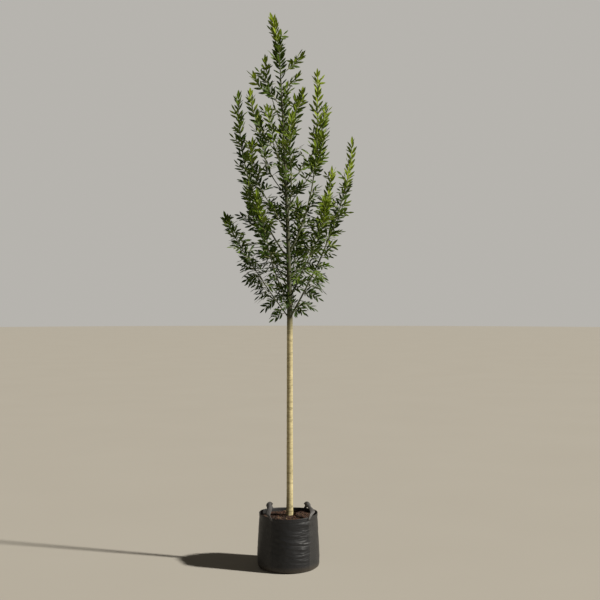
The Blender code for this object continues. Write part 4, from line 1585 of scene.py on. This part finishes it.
def make_compost(material):
    """What fills the bag: a lumpy top, with its side just inside the cloth."""
    columns = COMPOST_COLUMNS
    angles = [2 * math.pi * column / columns for column in range(columns)]
    corners = [(0.0, 0.0, compost_height(0, 0))]
    edge = bag_radius(COMPOST_EDGE) - COMPOST_INSIDE
    for ring in range(1, COMPOST_RINGS + 1):
        radius = edge * ring / COMPOST_RINGS
        for angle in angles:
            x, y = radius * math.cos(angle), radius * math.sin(angle)
            corners.append(tuple(bag_form((x, y, compost_height(x, y)))))
    for z in COMPOST_SIDES:
        radius = bag_radius(z) - COMPOST_INSIDE - 0.002
        corners += [(radius * math.cos(angle), radius * math.sin(angle), z) for angle in angles]
    faces = [(0, 1 + column, 1 + (column + 1) % columns) for column in range(columns)]
    total = COMPOST_RINGS + len(COMPOST_SIDES)
    for ring in range(total - 1):
        for column in range(columns):
            near = 1 + ring * columns + column
            far = 1 + ring * columns + (column + 1) % columns
            faces.append((near, near + columns, far + columns, far))
    last = 1 + (total - 1) * columns
    faces.append(tuple(range(last + columns - 1, last - 1, -1)))
    return add_object("compost_fill", mesh_of("compost", corners, faces), material)


def chip_shape(dice, long, broad, thick):
    """A torn flake of bark."""
    shape = bmesh.new()
    bmesh.ops.create_icosphere(shape, subdivisions=1, radius=1.0)
    for corner in shape.verts:
        rough = 1 + dice.uniform(-0.30, 0.22)
        x, y, z = corner.co * rough
        bend = 0.25 * x * x * dice.uniform(0.4, 1.0)
        corner.co = (x * long / 2, y * broad / 2, z * thick / 2 + bend * thick)
    return finished(shape, "chip")


def chip_bed():
    """The part of the compost's top that chips lie on, as a bare surface."""
    shape = bmesh.new()
    bmesh.ops.create_grid(shape, x_segments=60, y_segments=60, size=BED_SIZE)
    for corner in shape.verts:
        corner.co.z = compost_height(corner.co.x, corner.co.y) + 0.001
    off = []
    for face in shape.faces:
        place = face.calc_center_median().xy
        if place.length > BED_EDGE or (place - Vector((STEM_X, 0))).length < BED_HOLE:
            off.append(face)
    bmesh.ops.delete(shape, geom=off, context="FACES")
    return add_object("chip_bed", finished(shape, "chip_bed"))


def make_chips(mottle):
    """Bark chips of three browns over the compost's top."""
    tree, names = scatter_tree()
    bed = chip_bed()
    dice = random.Random(SEED + 1)
    shapes = [chip_shape(dice, *size) for size in CHIP_SIZES]
    collection = hidden_collection("chip_shapes", shapes)
    pieces = []
    for name, (density, smallest, largest, colour, seed) in CHIPS.items():
        values = {
            "Shapes": collection,
            "Density": density,
            "Smallest": smallest,
            "Largest": largest,
            "Tip": CHIP_TIP,
            "Seed": seed,
            "Material": compost_material(name, mottle, colour),
        }
        pieces.append(grown(name, bed, tree, names, values))
    bpy.data.objects.remove(bed)
    return pieces


# Studio


def make_studio():
    """A plain pale floor just below the bag, the world's light and the suns."""
    shape = bmesh.new()
    bmesh.ops.create_circle(shape, cap_ends=True, segments=96, radius=FLOOR_RADIUS)
    material, nodes, shader = new_material("floor_paint")
    soft = nodes.noise(object_place(nodes), 0.8, 2.0)
    nodes.plug(shader["Base Color"], nodes.blend(soft, *FLOOR_COLOURS))
    shader["Roughness"].default_value = 0.9
    floor = add_object("floor", finished(shape, "floor"), material)
    floor.location.z = -0.0006
    make_world()
    for name, values in SUNS.items():
        add_sun(name, *values)
    bpy.context.scene.view_settings.view_transform = "Standard"


def make_world():
    """Pale behind the tree, and a dimmer, warm light on it from all round."""
    world = bpy.data.worlds.new("studio")
    world.use_nodes = True
    nodes = Nodes(world.node_tree)
    background = world.node_tree.nodes["Background"].inputs
    seen = nodes.add("ShaderNodeLightPath").outputs["Is Camera Ray"]
    nodes.plug(background["Color"], nodes.blend(seen, WORLD_LIGHT, WORLD_SEEN))
    bpy.context.scene.world = world


def add_sun(name, place, power, spread, colour):
    """A soft distant light that shines from the side of place."""
    light = bpy.data.lights.new(name, "SUN")
    light.energy = power
    light.angle = math.radians(spread)
    light.color = colour
    holder = bpy.data.objects.new(name, light)
    holder.location = place
    holder.rotation_euler = (-Vector(place)).to_track_quat("-Z", "Y").to_euler()
    bpy.context.scene.collection.objects.link(holder)


def dressed(piece, slot, *nodes):
    """Hides the solids that a piece stands for; the slot is not used."""
    if nodes:
        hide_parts(*nodes)
    return piece


def make_tree(mottle, tree):
    """Trunk, boughs, twigs and leaves."""
    boughs = [Shoot(*row) for row in BOUGHS]
    spurs = [Shoot(*row) for row in SPURS]
    leader = Leader()
    masses = [f"foliage_{shoot.name}" for shoot in (*boughs, *spurs, leader)]
    barks = {name: bark_material(name, mottle, *values) for name, values in BARKS.items()}

    trunk = dressed(make_trunk(barks["stem_bark"]), "stem_bark", "trunk")
    mesh = mesh_of("boughs", *join_shapes([shoot_limb(shoot) for shoot in (*boughs, *spurs)]))
    limbs = add_object("boughs", mesh, barks["bough_bark"])
    dressed(limbs, "bough_bark", *[f"bough_{shoot.name}" for shoot in boughs])

    twigs, leaves = grow_crown([*boughs, *spurs, leader])
    mesh = mesh_of("twigs", *join_shapes(twigs))
    twig_piece = dressed(add_object("twigs", mesh, barks["twig_bark"]), "bough_bark", *masses)

    pieces = [trunk, limbs, twig_piece]
    shapes = [leaf_shape(LEAF_WIDTH * broad, fold, droop) for broad, fold, droop in LEAF_BLADES]
    for name, colour in TINTS.items():
        green = leaf_material(name, colour, mottle)
        piece = deal(name, leaves[name], shapes, green, tree)
        pieces.append(dressed(piece, "leaves", *masses))
    return pieces


def make_planter(mottle, tree):
    """The bag with its stitches, straps, compost and chips."""
    weave = weave_group()
    cloths = {name: bag_material(name, mottle, weave, *values) for name, values in CLOTHS.items()}
    pieces = [dressed(make_bag(cloths["woven_cloth"]), "woven_bag", "bag")]
    thread = thread_material("thread", THREAD_COLOUR)
    pieces.append(dressed(make_stitches(thread, tree), "woven_bag"))
    for name, first, last, soon in HANDLES:
        strap = make_strap(name, first, last, soon, cloths["strap_cloth"])
        pieces.append(dressed(strap, "strap", name))
    compost = make_compost(compost_material("compost", mottle, COMPOST_COLOUR))
    pieces.append(dressed(compost, "bark_compost", "compost"))
    pieces += [dressed(chips, "bark_compost") for chips in make_chips(mottle)]
    return pieces


def main():
    """Makes everything."""
    make_camera()
    mottle, tree = mottle_group(), deal_tree()
    for piece in make_tree(mottle, tree) + make_planter(mottle, tree):
        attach(piece, "root")
    make_studio()


main()
